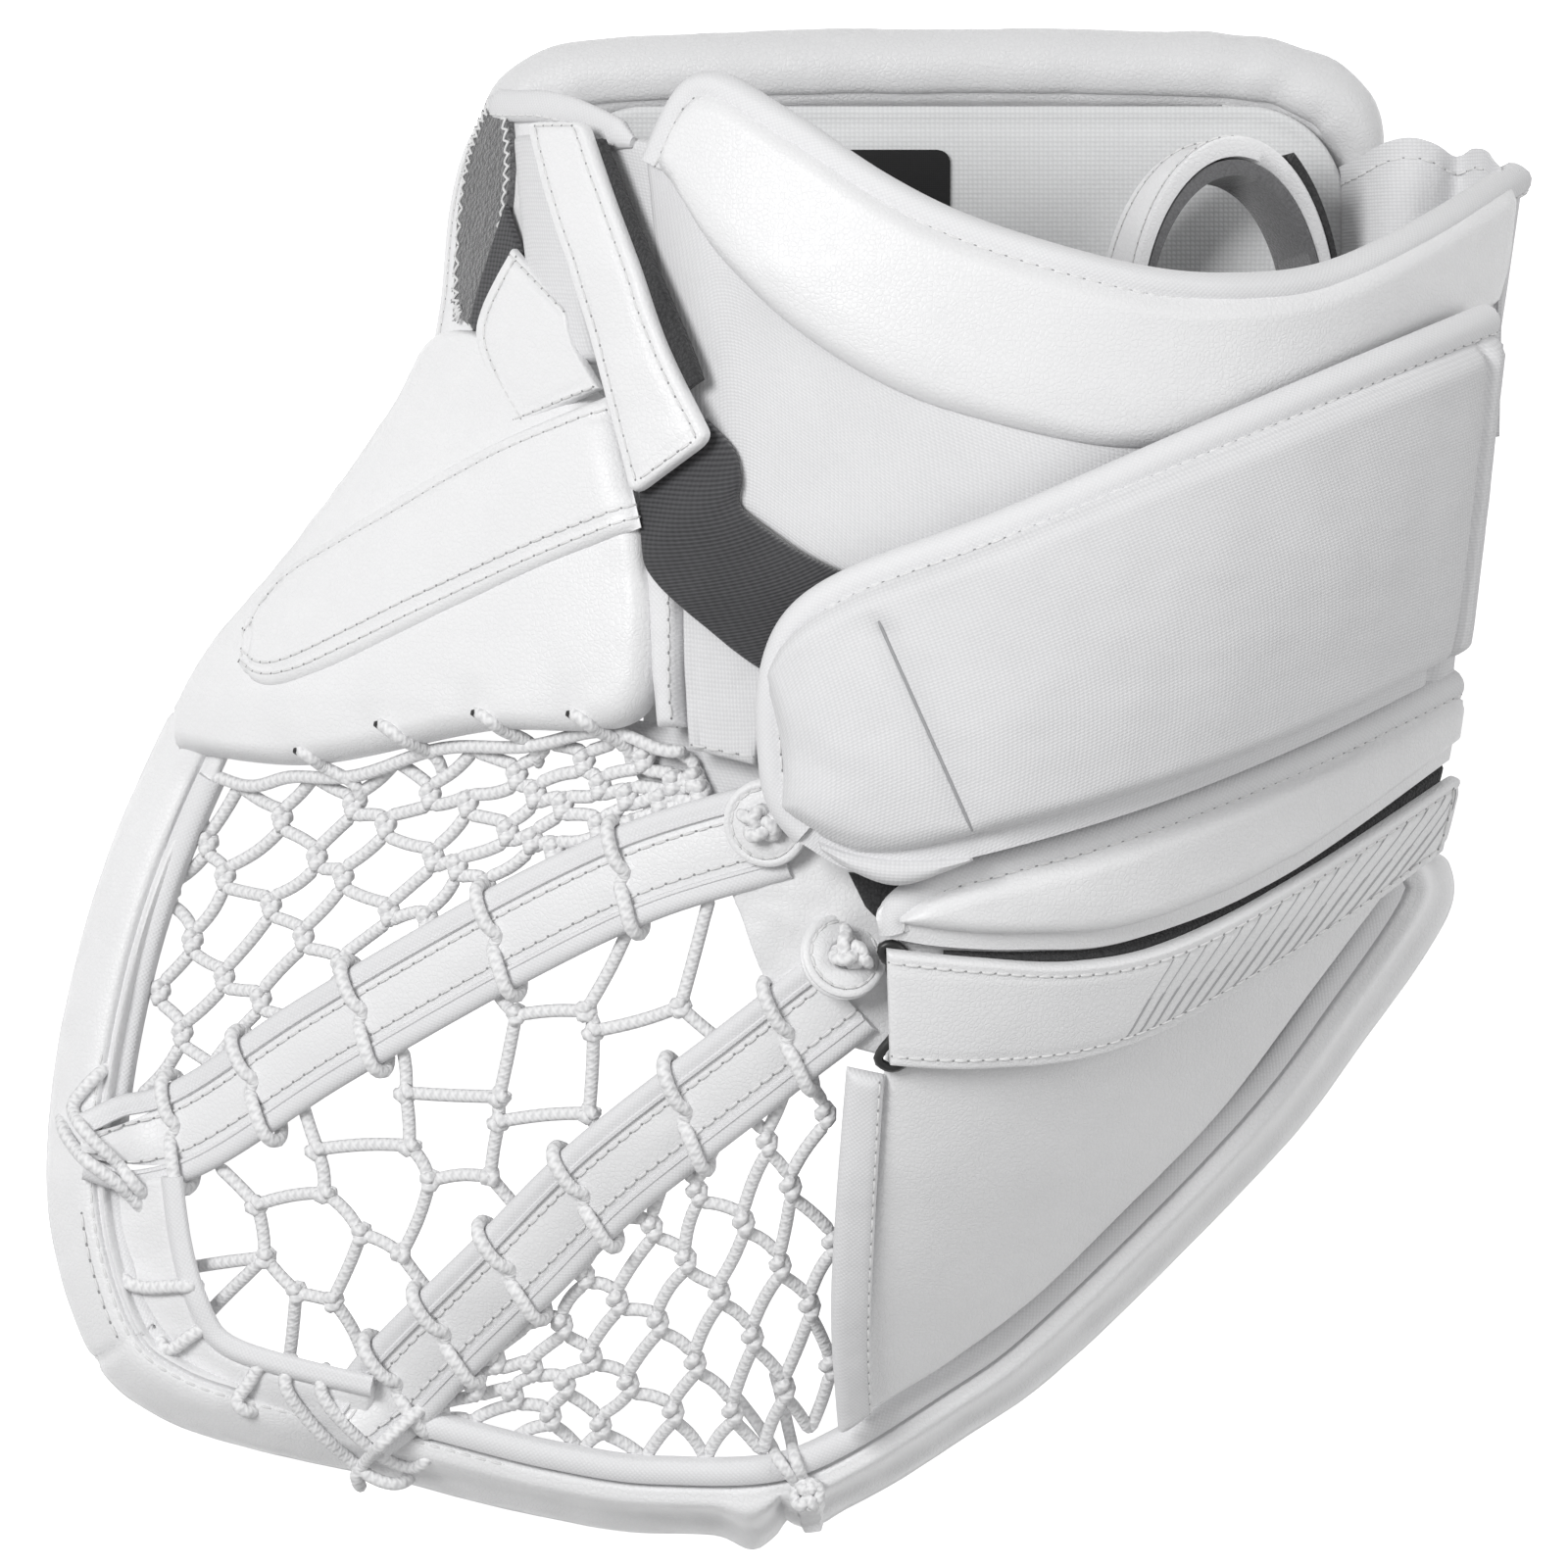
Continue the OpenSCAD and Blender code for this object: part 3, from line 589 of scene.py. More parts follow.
def sew(body, points, ups, pitch=None, lift=0.0):
    # one stitch after another along a line of points
    pitch = pitch or stitchSize["pitch"]
    both, at = resample(np.concatenate([points, ups], 1), pitch)
    p, n = both[:, :3], unitOf(both[:, 3:])
    d = unitOf(np.diff(p, axis=0))
    middle = (p[1:] + p[:-1]) / 2 + (n[1:] + n[:-1]) / 2 * lift
    stitchBank.setdefault(body, []).append((middle, d, unitOf(n[1:] + n[:-1])))


def insetLine(job, side, inset, start=0.0, end=1.0, count=60):
    # share points that run along one side at a distance in mm from it
    longSide, wide = job["sides"]
    u = np.linspace(start, end, count)
    if side in ("t0", "t1"):
        rows = curveThrough(job["upper"], u) - curveThrough(job["lower"], u)
        v = inset / np.maximum(np.linalg.norm(rows, axis=1), inset * 2)
        return np.stack([u, v if side == "t0" else 1 - v], -1)
    v = np.full(count, inset / longSide)
    return np.stack([v if side == "s0" else 1 - v, u], -1)


def sewAlong(job, side, inset, start, end, pitch=None):
    # stitches along one side of a panel
    p, n = spotOn(job, *insetLine(job, side, inset, start, end).T)
    sew(job["body"], p, n, pitch)


def stamped(verts, faces, count):
    # the same small solid at every place; verts holds one array of places for each of its points
    copies = [tuple(q + n * len(verts) for q in f) for n in range(count) for f in faces]
    return np.stack(verts, 1).reshape(-1, 3), copies


def buildStitches():
    # a thread that dips at both ends, stamped at each place, and a small dark piece at both its ends: painted
    # shade in the needle holes
    ringAt = [(-0.5, -0.35, 0.55), (-0.36, 0.25, 0.95), (0, 0.5, 1.0), (0.36, 0.25, 0.95),
              (0.5, -0.35, 0.55)]
    thick, hole, sides = stitchSize["thick"], stitchSize["hole"], 6
    faces = [(k + m, k + (m + 1) % sides, k + sides + (m + 1) % sides, k + sides + m)
             for k in range(0, (len(ringAt) - 1) * sides, sides) for m in range(sides)]
    faces += [tuple(range(sides))[::-1], tuple((len(ringAt) - 1) * sides + m for m in range(sides))]
    holeShadeFaces = [(0, 1, 4), (1, 2, 4), (2, 3, 4), (3, 0, 4), (1, 0, 5), (2, 1, 5), (3, 2, 5), (0, 3, 5)]
    for body, rows in stitchBank.items():
        centre, along, up = (np.concatenate([r[k] for r in rows]) for k in range(3))
        side = unitOf(np.cross(up, along))
        verts = [centre + along * (u * stitchSize["length"])
                 + up * (h * thick + math.sin(twoPi * m / sides) * w * thick)
                 + side * (math.cos(twoPi * m / sides) * w * thick) for u, h,
                 w in ringAt for m in range(sides)]
        half = stitchSize["length"] * 0.58
        spots = np.concatenate([centre + along * half, centre - along * half])
        a, u, w = (np.concatenate([q, q]) for q in (along, up, side))
        # small dark solids at both ends of each stitch, as painted shade in the needle holes
        holeShades = [spots + a * hole * 1.3, spots + w * hole, spots - a * hole * 1.3, spots - w * hole,
                 spots + u * 0.22, spots - u * 0.4]
        ending = "".join(word.capitalize() for word in body.split("_"))
        for label, points, shell, material in (("stitches", verts, faces, thread),
                                               ("needleHoles", holeShades, holeShadeFaces, needleHoleShadeGrey)):
            obj = meshObject(label, *stamped(points, shell, len(points[0])))
            fixNormals(obj)
            finishPiece(obj, label + ending, "binding_white", body, material=material)
        print("stitches on", body, len(centre))


def frameAlong(p, guide):
    # sideways and upward directions along a line
    d = unitOf(np.gradient(p, axis=0))
    side = unitOf(np.cross(d, guide))
    return side, unitOf(np.cross(side, d))


def sweep(name, spine, ups, section, slotName, body, nodes=(), cell=2.5, material=None):
    # a closed section carried along a line; its points are (side, up) in mm, or a call gives them
    both, at = resample(np.concatenate([spine, ups], 1), cell)
    p = both[:, :3]
    side, n = frameAlong(p, unitOf(both[:, 3:]))
    rows = []
    for k in range(len(p)):
        sec = np.asarray(section(at[k] / at[-1], at[k]) if callable(section) else section, float)
        rows.append(p[k] + side[k] * sec[:, :1] + n[k] * sec[:, 1:2])
    return loft(name, np.stack(rows), at, slotName, body, nodes, material=material)


def loft(name, rows, at, slotName, body, nodes=(), caps=True, material=None):
    # rows of points joined into a tube, its ends closed
    count = len(rows)
    rows = np.concatenate([rows, rows[:, :1]], 1)
    girth = np.concatenate([np.zeros((count, 1)),
                            np.cumsum(np.linalg.norm(np.diff(rows, axis=1), axis=-1), 1)], 1)
    obj, i, j, _ = gridObject(count, rows.shape[1], False)
    setCoords(obj, rows[i, j] * mm)
    writeFollow(obj, np.stack([np.asarray(at)[i], girth[i, j]], -1))
    activate(obj)
    bpy.ops.object.mode_set(mode="EDIT")
    bpy.ops.mesh.select_all(action="SELECT")
    bpy.ops.mesh.remove_doubles(threshold=1e-6)
    if caps:
        bpy.ops.mesh.fill_holes(sides=0)
    bpy.ops.mesh.select_all(action="SELECT")
    bpy.ops.mesh.normals_make_consistent(inside=False)
    bpy.ops.object.mode_set(mode="OBJECT")
    return finishPiece(obj, name, slotName, body, nodes, material)


def laceFrame(p):
    # sideways and upward directions along a lace, kept from turning suddenly
    d = unitOf(np.gradient(p, axis=0))
    guide = np.tile([0.12, 0.05, 1.0], (len(p), 1))
    guide = np.where(np.abs((d * unitOf(guide)).sum(1, keepdims=True)) > 0.93, [1.0, 0.2, 0.1], guide)
    side = unitOf(np.cross(d, guide))
    for k in range(1, len(p)):
        fresh, kept = (v - d[k] * np.dot(v, d[k]) for v in (side[k], side[k - 1]))
        side[k] = kept / max(np.linalg.norm(kept), 1e-6) if np.linalg.norm(kept) > 0.2 else fresh
    return side, np.cross(side, d)


def laces(name, paths, body, nodes=(), thick=3.4, sides=8, cell=1.6, slotName="lace_white", material=None):
    # round braided laces, all of one piece in one mesh, each end closed and drawn in
    verts, faces, follow = [], [], []
    base, per = 0, sides + 1
    angle = np.linspace(0, twoPi, per)
    cosines, sines = np.cos(angle)[None, :, None], np.sin(angle)[None, :, None]
    for path in paths:
        p, at = resample(path, cell)
        if len(p) < 3:
            p, at = resample(path, np.linalg.norm(p[-1] - p[0]) / 3)
        count = len(p)
        side, up = laceFrame(p)
        ring = p[:, None] + (side[:, None] * cosines + up[:, None] * sines) * thick / 2
        for end in (0, -1):
            ring[end] = p[end] + (ring[end] - p[end]) * 0.6
        verts.append(ring.reshape(-1, 3))
        follow.append(np.stack([np.repeat(at, per), np.tile(angle / twoPi * braid["girth"], count)], -1))
        for k in range(base, base + (count - 1) * per, per):
            faces += [(k + m, k + m + 1, k + m + per + 1, k + m + per) for m in range(sides)]
        faces.append(tuple(base + m for m in range(sides))[::-1])
        faces.append(tuple(base + (count - 1) * per + m for m in range(sides)))
        base += count * per
    obj = meshObject(name, np.concatenate(verts), faces)
    writeFollow(obj, np.concatenate(follow))
    fixNormals(obj, 1e-6)
    return finishPiece(obj, name, slotName, body, nodes, material, 80)


def edgeLine(job, sides, start, end):
    # plan points along one or more sides of a panel, in order; a minus sign walks a side backwards
    x, y = job["plan"]
    rows = {"t0": (x[:, 0], y[:, 0]), "t1": (x[:, -1], y[:, -1]), "s0": (x[0], y[0]), "s1": (x[-1], y[-1])}
    parts = [np.stack(rows[side.strip("-")], -1)[::-1 if side[0] == "-" else 1] for side in sides]
    p, at = resample(np.concatenate(parts), 1.6)
    return smoothed(p[int(start * len(p)):max(int(end * len(p)), 4)], 8)


def bindEdge(job, sides, name, width, bulk, start=0.0, end=1.0, puff=0.8, sewn=True):
    # woven tape folded over the edge of a panel and sewn through
    p = edgeLine(job, sides, start, end)
    deep = (job["high"] - job["low"]) * (job.get("thin", 0.25) if "flange" in job else 1.0)
    ups = skinUp(p[:, 0], p[:, 1])
    line = onSkin(p[:, 0], p[:, 1], job["low"] + deep)
    side = frameAlong(line, ups)[0]
    centre = np.array([job["plan"][0].mean(), job["plan"][1].mean()])
    sign = 1.0 if ((p - centre) * side[:, :2]).sum() > 0 else -1.0
    w, b, t = width, bulk, deep
    sec = np.array([(-w, -0.8), (-w, b * 0.35), (-w + 0.5, b * 0.95), (-w + 1.3, b + 0.1),
                    (-w * 0.62, b + puff * 0.75),
                    (-w * 0.36, b + puff), (-0.9, b + puff * 0.55), (0.4, b * 0.35), (1.1, -t * 0.3),
                    (1.1, -t * 0.75),
                    (0.3, -t - 0.5), (-1.0, -t - 0.7), (-w * 0.6, -t - 0.6), (-w * 0.6, -t - 0.05),
                    (-w * 0.3, -t * 0.5)])
    sec[:, 0] *= sign
    obj = sweep(name, line, ups, sec, "binding_white", job["body"], cell=1.8)
    if sewn:
        seamIn = 1.4  # how far the seam lies in from the tape's inner edge
        sew(job["body"], line - side * sign * (w - seamIn) + ups * (b + puff * 0.15), ups)
    return obj


# camera, light and floor
view = {"height": 3.0, "lens": 281, "sensor": 36, "far": 20}


def lookDown():
    camera = bpy.data.objects.new("camera", bpy.data.cameras.new("camera"))
    bpy.context.scene.collection.objects.link(camera)
    camera.location = (0, 0, view["height"])
    camera.data.lens, camera.data.sensor_width = view["lens"], view["sensor"]
    camera.data.clip_end = view["far"]
    bpy.context.scene.camera = camera


# each light's place in metres, its size and its power
studio = {
    "lights": {"keyLight": ((-1.15, 0.65, 2.0), 0.9, 38), "fillLight": ((2.0, 0.4, 1.5), 1.6, 16)},
    "aim": (0, 0, 0.05), "sky": 0.41, "floor": 0.92, "glow": 0.8, "drop": 0.0005,
}


def softBox(name, place, size, power):
    light = bpy.data.lights.new(name, "AREA")
    light.shape, light.size, light.energy = "DISK", size, power
    obj = bpy.data.objects.new(name, light)
    bpy.context.scene.collection.objects.link(obj)
    obj.location = place
    obj.rotation_euler = (Vector(studio["aim"]) - Vector(place)).to_track_quat("-Z", "Y").to_euler()


def studioLight():
    bpy.context.scene.view_settings.view_transform = "Standard"
    for name, settings in studio["lights"].items():
        softBox(name, *settings)
    world = bpy.data.worlds.new("studio")
    bpy.context.scene.world = world
    world.use_nodes = True
    sky = world.node_tree.nodes["Background"].inputs
    sky[0].default_value = (1, 1, 1, 1)
    sky[1].default_value = studio["sky"]
    deselect()
    bpy.ops.mesh.primitive_grid_add(x_subdivisions=4, y_subdivisions=4, size=8)
    floor = bpy.context.object
    floor.name = "floor"
    floor.location.z = -studio["drop"]
    f = Finish("paleFloor", (studio["floor"],) * 3, 0.9, Specular_IOR_Level=0.1)
    f.shader.inputs["Emission Color"].default_value = (1, 1, 1, 1)
    f.shader.inputs["Emission Strength"].default_value = studio["glow"]
    floor.data.materials.append(f.done())
    floor.visible_diffuse = False


lookDown()
studioLight()
print("camera and light set")


# palm side of the cuff
def roundedSlab(name, box, radius, edge, slotName, swell, nodes=(), cells=(60, 46)):
    # a flat cushion with rounded plan corners and rounded edges; box is x0, x1, y0, y1, z0, z1 in mm
    x0, x1, y0, y1, z0, z1 = box
    s, t = spread(cells[0], x1 - x0, edge), spread(cells[1], y1 - y0, edge)
    ss, tt = np.meshgrid(s, t, indexing="ij")
    dx, dy = np.minimum(ss, 1 - ss) * (x1 - x0), np.minimum(tt, 1 - tt) * (y1 - y0)
    px, py, pull = cornerPull(dx, dy, radius)
    nx = np.where(px > 0, radius * (1 - px * pull), dx)
    ny = np.where(py > 0, radius * (1 - py * pull), dy)
    x = np.where(ss < 0.5, x0 + nx, x1 - nx)
    y = np.where(tt < 0.5, y0 + ny, y1 - ny)
    near = np.minimum(dx, dy)
    middle, half = (z0 + z1) / 2, (z1 - z0) / 2 * (0.12 + 0.88 * quarterRound(near, edge))
    raised, sunk = swell(x, y, near)
    top, low = (np.stack([x, y, z], -1) for z in (middle + half + raised, middle - half + sunk))
    finishPiece(slabObject(top, low, x, y, 200), name, slotName, "hand", nodes)


cuffPalm = {"left": -60.5, "right": 138, "low": 62, "top": 166, "thick": 15}


def makePalmCuff():
    c = cuffPalm
    roundedSlab("palmCuff", (c["left"], c["right"], c["low"], c["top"], 0.0, c["thick"]), 28, 5,
                "leather_inner",
                lambda x, y, near: (waves(x, y, 70, 3) * 0.25 - 0.2, groove(near - 9, 1.3) * 0.9))
    a = np.linspace(0, twoPi, 90)
    squareX, squareY = (np.sign(v) * np.abs(v) ** 0.45 for v in (np.cos(a), np.sin(a)))
    outline = np.stack([36 + (c["right"] - 45) * squareX, 112 + 41 * squareY, np.full(90, 0.7)], -1)
    sew("hand", outline, np.tile([0.0, 0, -1], (90, 1)))


def makeLiner():
    def swell(x, y, near):
        return waves(x, y, 60, 8) * 0.45 * steady(near, 3, 14) - groove(near - 4.5, 1.4) * 0.7, 0
    roundedSlab("cuffLiner", (-57.5, 136.5, 70, 165.2, 15.4, 18.2), 24, 1.6, "mesh_liner", swell,
                cells=(90, 60))
    roundedSlab("labelPatch", (6.5, 40.5, 132, 154.5, 18.4, 19.5), 3.2, 0.5, "label_black",
                lambda x, y, near: (waves(x, y, 40, 5) * 0.12, 0), ["size_patch"], (24, 18))


cuffRoll = {
    "line": [(-68, 132), (-68, 150), (-61, 167), (-44, 172.5), (0, 174.5), (36, 175), (90, 174.5),
             (118, 172.5), (133, 166),
             (139.5, 156), (140.5, 145)],
    "radius": 9.6, "height": 9.7, "around": 36, "seam": math.radians(30), "groove": math.radians(38),
}


def makeCuffRoll():
    t = np.linspace(0, 1, 200)
    plan = curveThrough(cuffRoll["line"], t)
    spine = np.concatenate([plan, np.full((len(plan), 1), cuffRoll["height"])], 1)
    ups = np.tile([0.0, 0, 1], (len(spine), 1))
    around = np.linspace(0, twoPi, cuffRoll["around"], endpoint=False)

    def section(share, at):
        taper = min(1, math.sqrt(max(0.05, min(share, 1 - share) * 14)))
        crease = waves(np.full(len(around), at), around * 9, 34, 4) * 0.35
        bends = groove(share - 0.13, 0.06) + groove(share - 0.86, 0.07)
        fold = bends * np.sin(at / 2.4 + 1.2 * np.sin(around * 2)) * 0.35 * (np.cos(around) < 0.9)
        r = cuffRoll["radius"] * taper + crease + fold
        # the seam where the roll meets the liner
        off = around - cuffRoll["groove"]
        r = r - groove(np.arctan2(np.sin(off), np.cos(off)), 0.10) * 1.2 * taper
        return np.stack([np.cos(around) * r, np.sin(around) * r], 1)
    # the roll takes the darker copy of the white leather, as painted shade
    obj = sweep("cuffRoll", spine, ups, section, "leather_white", "hand", cell=1.6, material=shadedRollLeather)
    side, up = frameAlong(spine, ups)
    angle, out = cuffRoll["seam"], cuffRoll["height"]
    seam = spine + side * math.cos(angle) * out + up * math.sin(angle) * out
    sew("hand", seam[130:196], unitOf(side + up)[130:196], 3.4)


# strap inside the cuff
# each layer runs between two radii, two widths and two angles in so many steps
innerStrap = {
    "centre": (105, 108, 25.4), "stretch": 2.2, "width": np.array([0.52, 0.10, 0.85]),
    "rise": np.array([0, 0.92, 0.39]),
    "layers": {"innerStrap": ("leather_white", (21, 23.4, -8, 8, 0, 180, 90)),
               "innerStrapLining": ("suede_dark", (18.8, 20.7, -7.6, 7.6, 0, 180, 90)),
               "innerStrapHook": ("hook_tape", (23.8, 25.4, -7, 7, 6, 58, 34))},
    "seams": (-4.4, 6.3),
}


def archRows(r0, r1, w0, w1, a0, a1, steps):
    u, v = innerStrap["width"], innerStrap["rise"]
    centre = np.array(innerStrap["centre"], float)
    rows = []
    for a in np.radians(np.linspace(a0, a1, steps)):
        sec = []
        for r, w in ((r0, w0), (r0, w1), (r1 - 0.4, w1), (r1, w1 - 0.5), (r1, (w0 + w1) / 2),
                     (r1, w0 + 0.5), (r1 - 0.4, w0)):
            flat, rise = (r + 2) * math.cos(a), r * innerStrap["stretch"] * math.sin(a)
            sec.append(centre + np.array([flat, 0, 0]) + v * rise + u * w)
        rows.append(sec)
    return np.array(rows)


def makeInnerStrap():
    for name, (slotName, size) in innerStrap["layers"].items():
        rows = archRows(*size)
        at = np.concatenate([[0], np.cumsum(np.linalg.norm(np.diff(rows[:, 0], axis=0), axis=1))])
        loft(name, rows, at, slotName, "hand")
    for w in innerStrap["seams"]:
        rows = archRows(21, 23.5, w - 0.1, w + 0.1, 6, 174, 80)
        sew("hand", rows[:, 3], unitOf(rows[:, 3] - rows[:, 0]), 3.2)


# folds between the two sides of the cuff
# the folds cross from the palm side to the back: x, height and how far the hem rises there
gusset = {
    "low": 84, "high": 151.5, "steps": 44, "thick": 0.9, "hem": 118,
    "across": [(133.1, 7, -2), (136, 19, -1), (140.6, 30, 0.8), (146, 37.5, 3.8), (152, 40, 5.0),
               (157.6, 38, 3.6),
               (161.6, 34.5, 1.0), (164.2, 34.5, 1.0), (166.8, 38.5, 2.4), (169.4, 43, 1.6)],
}


def makeGusset():
    rows = []
    for y in np.linspace(gusset["low"], gusset["high"], gusset["steps"] + 1):
        hem = float(steady(y, gusset["hem"], gusset["high"]))
        back = onSkin(np.array([166.0]), np.array([min(y, 140.0)]), -1.0)[0]
        line = []
        for m, (x, z, rise) in enumerate(gusset["across"]):
            lean = 0.4 * math.sin(y / 17.0 + m * 0.7)
            line.append((x + lean, y + hem * rise, z - hem * 2.5 + lean))
        line.append((max(back[0] - 1.5, 171.2), y - hem * 1.0, min(back[2] - 4, 48) - hem * 3))
        line.append((max(back[0], 172.6), y - hem * 3, min(back[2], 52) - hem * 3))
        rows.append(curveThrough(line, np.linspace(0, 1, 64)))
    rows = np.array(rows)
    n = unitOf(np.cross(np.gradient(rows, axis=0), np.gradient(rows, axis=1)))
    n = np.where(n[..., 2:3] < 0, -n, n)
    along, around = lengthsOf(rows)
    half = n * gusset["thick"] / 2
    obj = slabObject(rows + half, rows - half, around, along)
    finishPiece(obj, "cuffGusset", "woven_white", "hand", smooth=80)
    asSheet(obj, rows)
    sew("hand", rows[-4][:52], n[-4][:52], lift=0.4)


# back of the cuff
cuffEdge = [(-33, 148), (-21, 168), (0, 158), (24, 142), (47, 131), (82, 121), (106, 119), (129, 122),
            (154, 134), (178, 149)]
backLow = [(-27, 76), (-12, 66), (8, 52), (28, 46), (50, 50), (76, 60), (100, 70), (122, 78), (148, 88),
           (171, 102)]
bandLow = [(-26, 140), (-18, 126), (0, 108), (24, 93), (47, 85), (76, 79), (98, 80), (124, 88), (149, 99),
           (174, 115)]


def between(a, b, share):
    return [(p[0] + (q[0] - p[0]) * share, p[1] + (q[1] - p[1]) * share) for p, q in zip(a, b)]


backCuff = {
    "name": "backCuff", "body": "hand", "slot": "woven_white", "upper": cuffEdge, "lower": backLow,
    "low": 0.0, "high": 4.0, "cell": 2.2, "edge": 1.5, "ripple": (60, 2, 0.5), "calm": (3, 15),
    "furrows": [("t0", 4, 3, -0.3)],
}
def bandShape(s, t, x, y, gap):
    # full toward its lower edge, with small wrinkles along that seam
    full = 2.0 * np.sin(np.clip(gap["t1"] / 14, 0, 1) * math.pi / 2) * steady(gap["t0"], 0, 6) - 1.0
    return full + waves(x, y, 12, 9, 2) * 0.10 * groove(gap["t1"] - 5, 5)


cuffBand = {
    "name": "cuffBand", "body": "hand", "slot": "leather_white",
    "upper": between(cuffEdge, bandLow, 0.10), "lower": bandLow, "low": 4.3, "high": 8.2, "cell": 1.8,
    "edge": 5.0, "thin": 0.05, "ripple": (48, 6, 0.22), "calm": (3, 12), "shape": bandShape,
}


def asSheet(obj, rows):
    # the cloth's lengths along and across its own surface, and its edge steps, worked out and then not used
    along, across = lengthsOf(rows)
    u, v = rows[1:, :-1] - rows[:-1, :-1], rows[:-1, 1:] - rows[:-1, :-1]


def makeBackCuff():
    panel(backCuff)
    panel(cuffBand)
    bindEdge(backCuff, ["t0"], "cuffBinding", width=7.0, bulk=1.6, puff=1.3)
    bindEdge(backCuff, ["s1"], "cuffSideBinding", width=4.5, bulk=0.9, start=0.04)


# thumb
def thumbShape(s, t, x, y, gap):
    # pinched along the lower edge where the laces pull, full in the middle
    pulls = sum(groove(np.hypot(x - px, (y - py) * 0.55), 4.5) for px,
                py in ((-115, 7), (-95, 13), (-71, 16), (-49, 16.5)))
    crease = waves(x, y, 22, 4, 3) * 0.4 * groove(gap["edge"] - 5, 9) + waves(x, y, 60, 7) * 0.3
    belly = 1.2 * np.sin(math.pi * np.clip(t, 0, 1)) * steady(gap["s"], 0, 25)
    return crease + belly - pulls * 1.3


thumbPad = {
    "name": "thumbPad", "body": "hand", "slot": "leather_white",
    "upper": [(-151, 19), (-141, 35), (-120, 61), (-99, 89), (-84, 110), (-58, 101)],
    "lower": [(-151, 9), (-119, 5), (-76, 12), (-36, 16), (-34, 58), (-40, 84)], "low": 0.0,
    "high": 9.0, "cell": 1.9, "edge": 7.0, "thin": 0.12, "shape": thumbShape,
}

thumbPanel = {
    "name": "thumbPanel", "body": "hand", "slot": "leather_white",
    "upper": [(-132, 39), (-121, 53), (-94, 69), (-69, 82), (-42.5, 92)],
    "lower": [(-133, 28), (-121, 24), (-80, 42), (-57, 52), (-35, 60.5)], "low": 9.0, "high": 12.0,
    "cell": 1.6, "edge": 3.2, "thin": 0.02, "corner": 7, "square": ("a1", "b1"),
    "ripple": (40, 3, 0.25), "furrows": [("t", 4.2, 0.9, 0.8), ("s0", 4.2, 0.9, 0.8)],
    "shape": lambda s, t, x, y, gap: (1.3 * np.sin(math.pi * t) * steady(gap["s0"], 2, 20)
                                      - 1.8 * (1 - steady(gap["s1"], 0, 7))),
    "seams": [("t1", 2.6, 0.05, 1.0), ("t1", 5.6, 0.05, 1.0), ("t0", 3.2, 0.05, 0.98),
              ("s0", 3.0, 0.22, 0.8)],
}

thumbFlap = {
    "name": "thumbFlap", "body": "hand", "slot": "leather_white",
    "upper": [(-86, 103), (-83.5, 118), (-81.5, 140), (-77, 156), (-68, 168)],
    "lower": [(-56, 100), (-52, 112), (-49, 130), (-46, 142), (-42, 156)], "low": 0.0, "high": 3.2,
    "cell": 2.0, "edge": 1.6, "corner": 3, "ripple": (30, 5, 0.3), "calm": (1, 8),
    "seams": [("t1", 2.0, 0.05, 0.95, 3.2), ("t0", 1.8, 0.05, 0.95, 3.2)],
}

loopPatch = {
    "name": "loopPatch", "body": "hand", "slot": "loop_pile",
    "upper": [(-78.5, 112.5), (-80, 118), (-78.6, 142), (-75.5, 156), (-71.5, 165)],
    "lower": [(-74.5, 108), (-71, 118), (-67, 134), (-65.5, 150), (-67, 163)], "low": 3.3, "high": 5.0,
    "cell": 0.9, "edge": 0.9, "ripple": (3.2, 5, 0.3, 2),
}

elasticEnd = {
    "name": "elasticEnd", "body": "hand", "slot": "elastic_dark",
    "upper": [(-76, 110.5), (-73, 121), (-67, 139)], "lower": [(-72.5, 107), (-68, 112), (-63, 127)],
    "low": 5.0, "high": 6.3, "cell": 1.2, "edge": 0.6,
}


def padChannels(s, t, x, y, gap):
    return 0.22 * np.sin(gap["s0"] * twoPi / 2.4) * steady(gap["edge"], 2, 4)


wristPad = {
    "name": "wristPad", "body": "hand", "slot": "woven_white",
    "upper": [(-58, 101), (-62, 118), (-64.5, 138), (-66, 156)],
    "lower": [(-44, 99), (-48, 119), (-52, 138), (-54, 156)], "low": 3.4, "high": 8.6, "cell": 1.5,
    "edge": 3.4, "thin": 0.05, "corner": 5, "square": ("a1", "b1"), "hump": 0.6, "shape": padChannels,
}

leatherPatch = {
    "name": "leatherPatch", "body": "hand", "slot": "leather_white",
    "upper": [(-65.5, 128), (-74, 107.5), (-64.5, 85)], "lower": [(-52, 112), (-50, 104), (-44, 93.5)],
    "low": 7.6, "high": 10.0, "cell": 1.4, "edge": 1.2, "ripple": (24, 2, 0.3),
    "furrows": [("edge", 2.6, 0.8, 0.45)],
    "seams": [(side, 2.4, 0.04, 0.96, 3.2) for side in ("t0", "s1", "s0")],
}

flapTape = {
    "line": [(-67.5, 163.6), (-64, 162.6), (-60, 162), (-54, 161.4), (-48, 159.4), (-42, 156.4),
             (-37, 153.6), (-33, 151.4)],
    "lift": 4.6,
}

wristWeb = {
    "name": "wristWeb", "body": "hand", "slot": "woven_white",
    "upper": [(-52, 158), (-46, 157), (-38, 154), (-29, 152)],
    "lower": [(-40, 84), (-36, 78), (-32, 74), (-24, 72)], "low": -0.6, "high": 3.4, "cell": 1.8,
    "edge": 1.5, "ripple": (40, 5, 0.4),
}


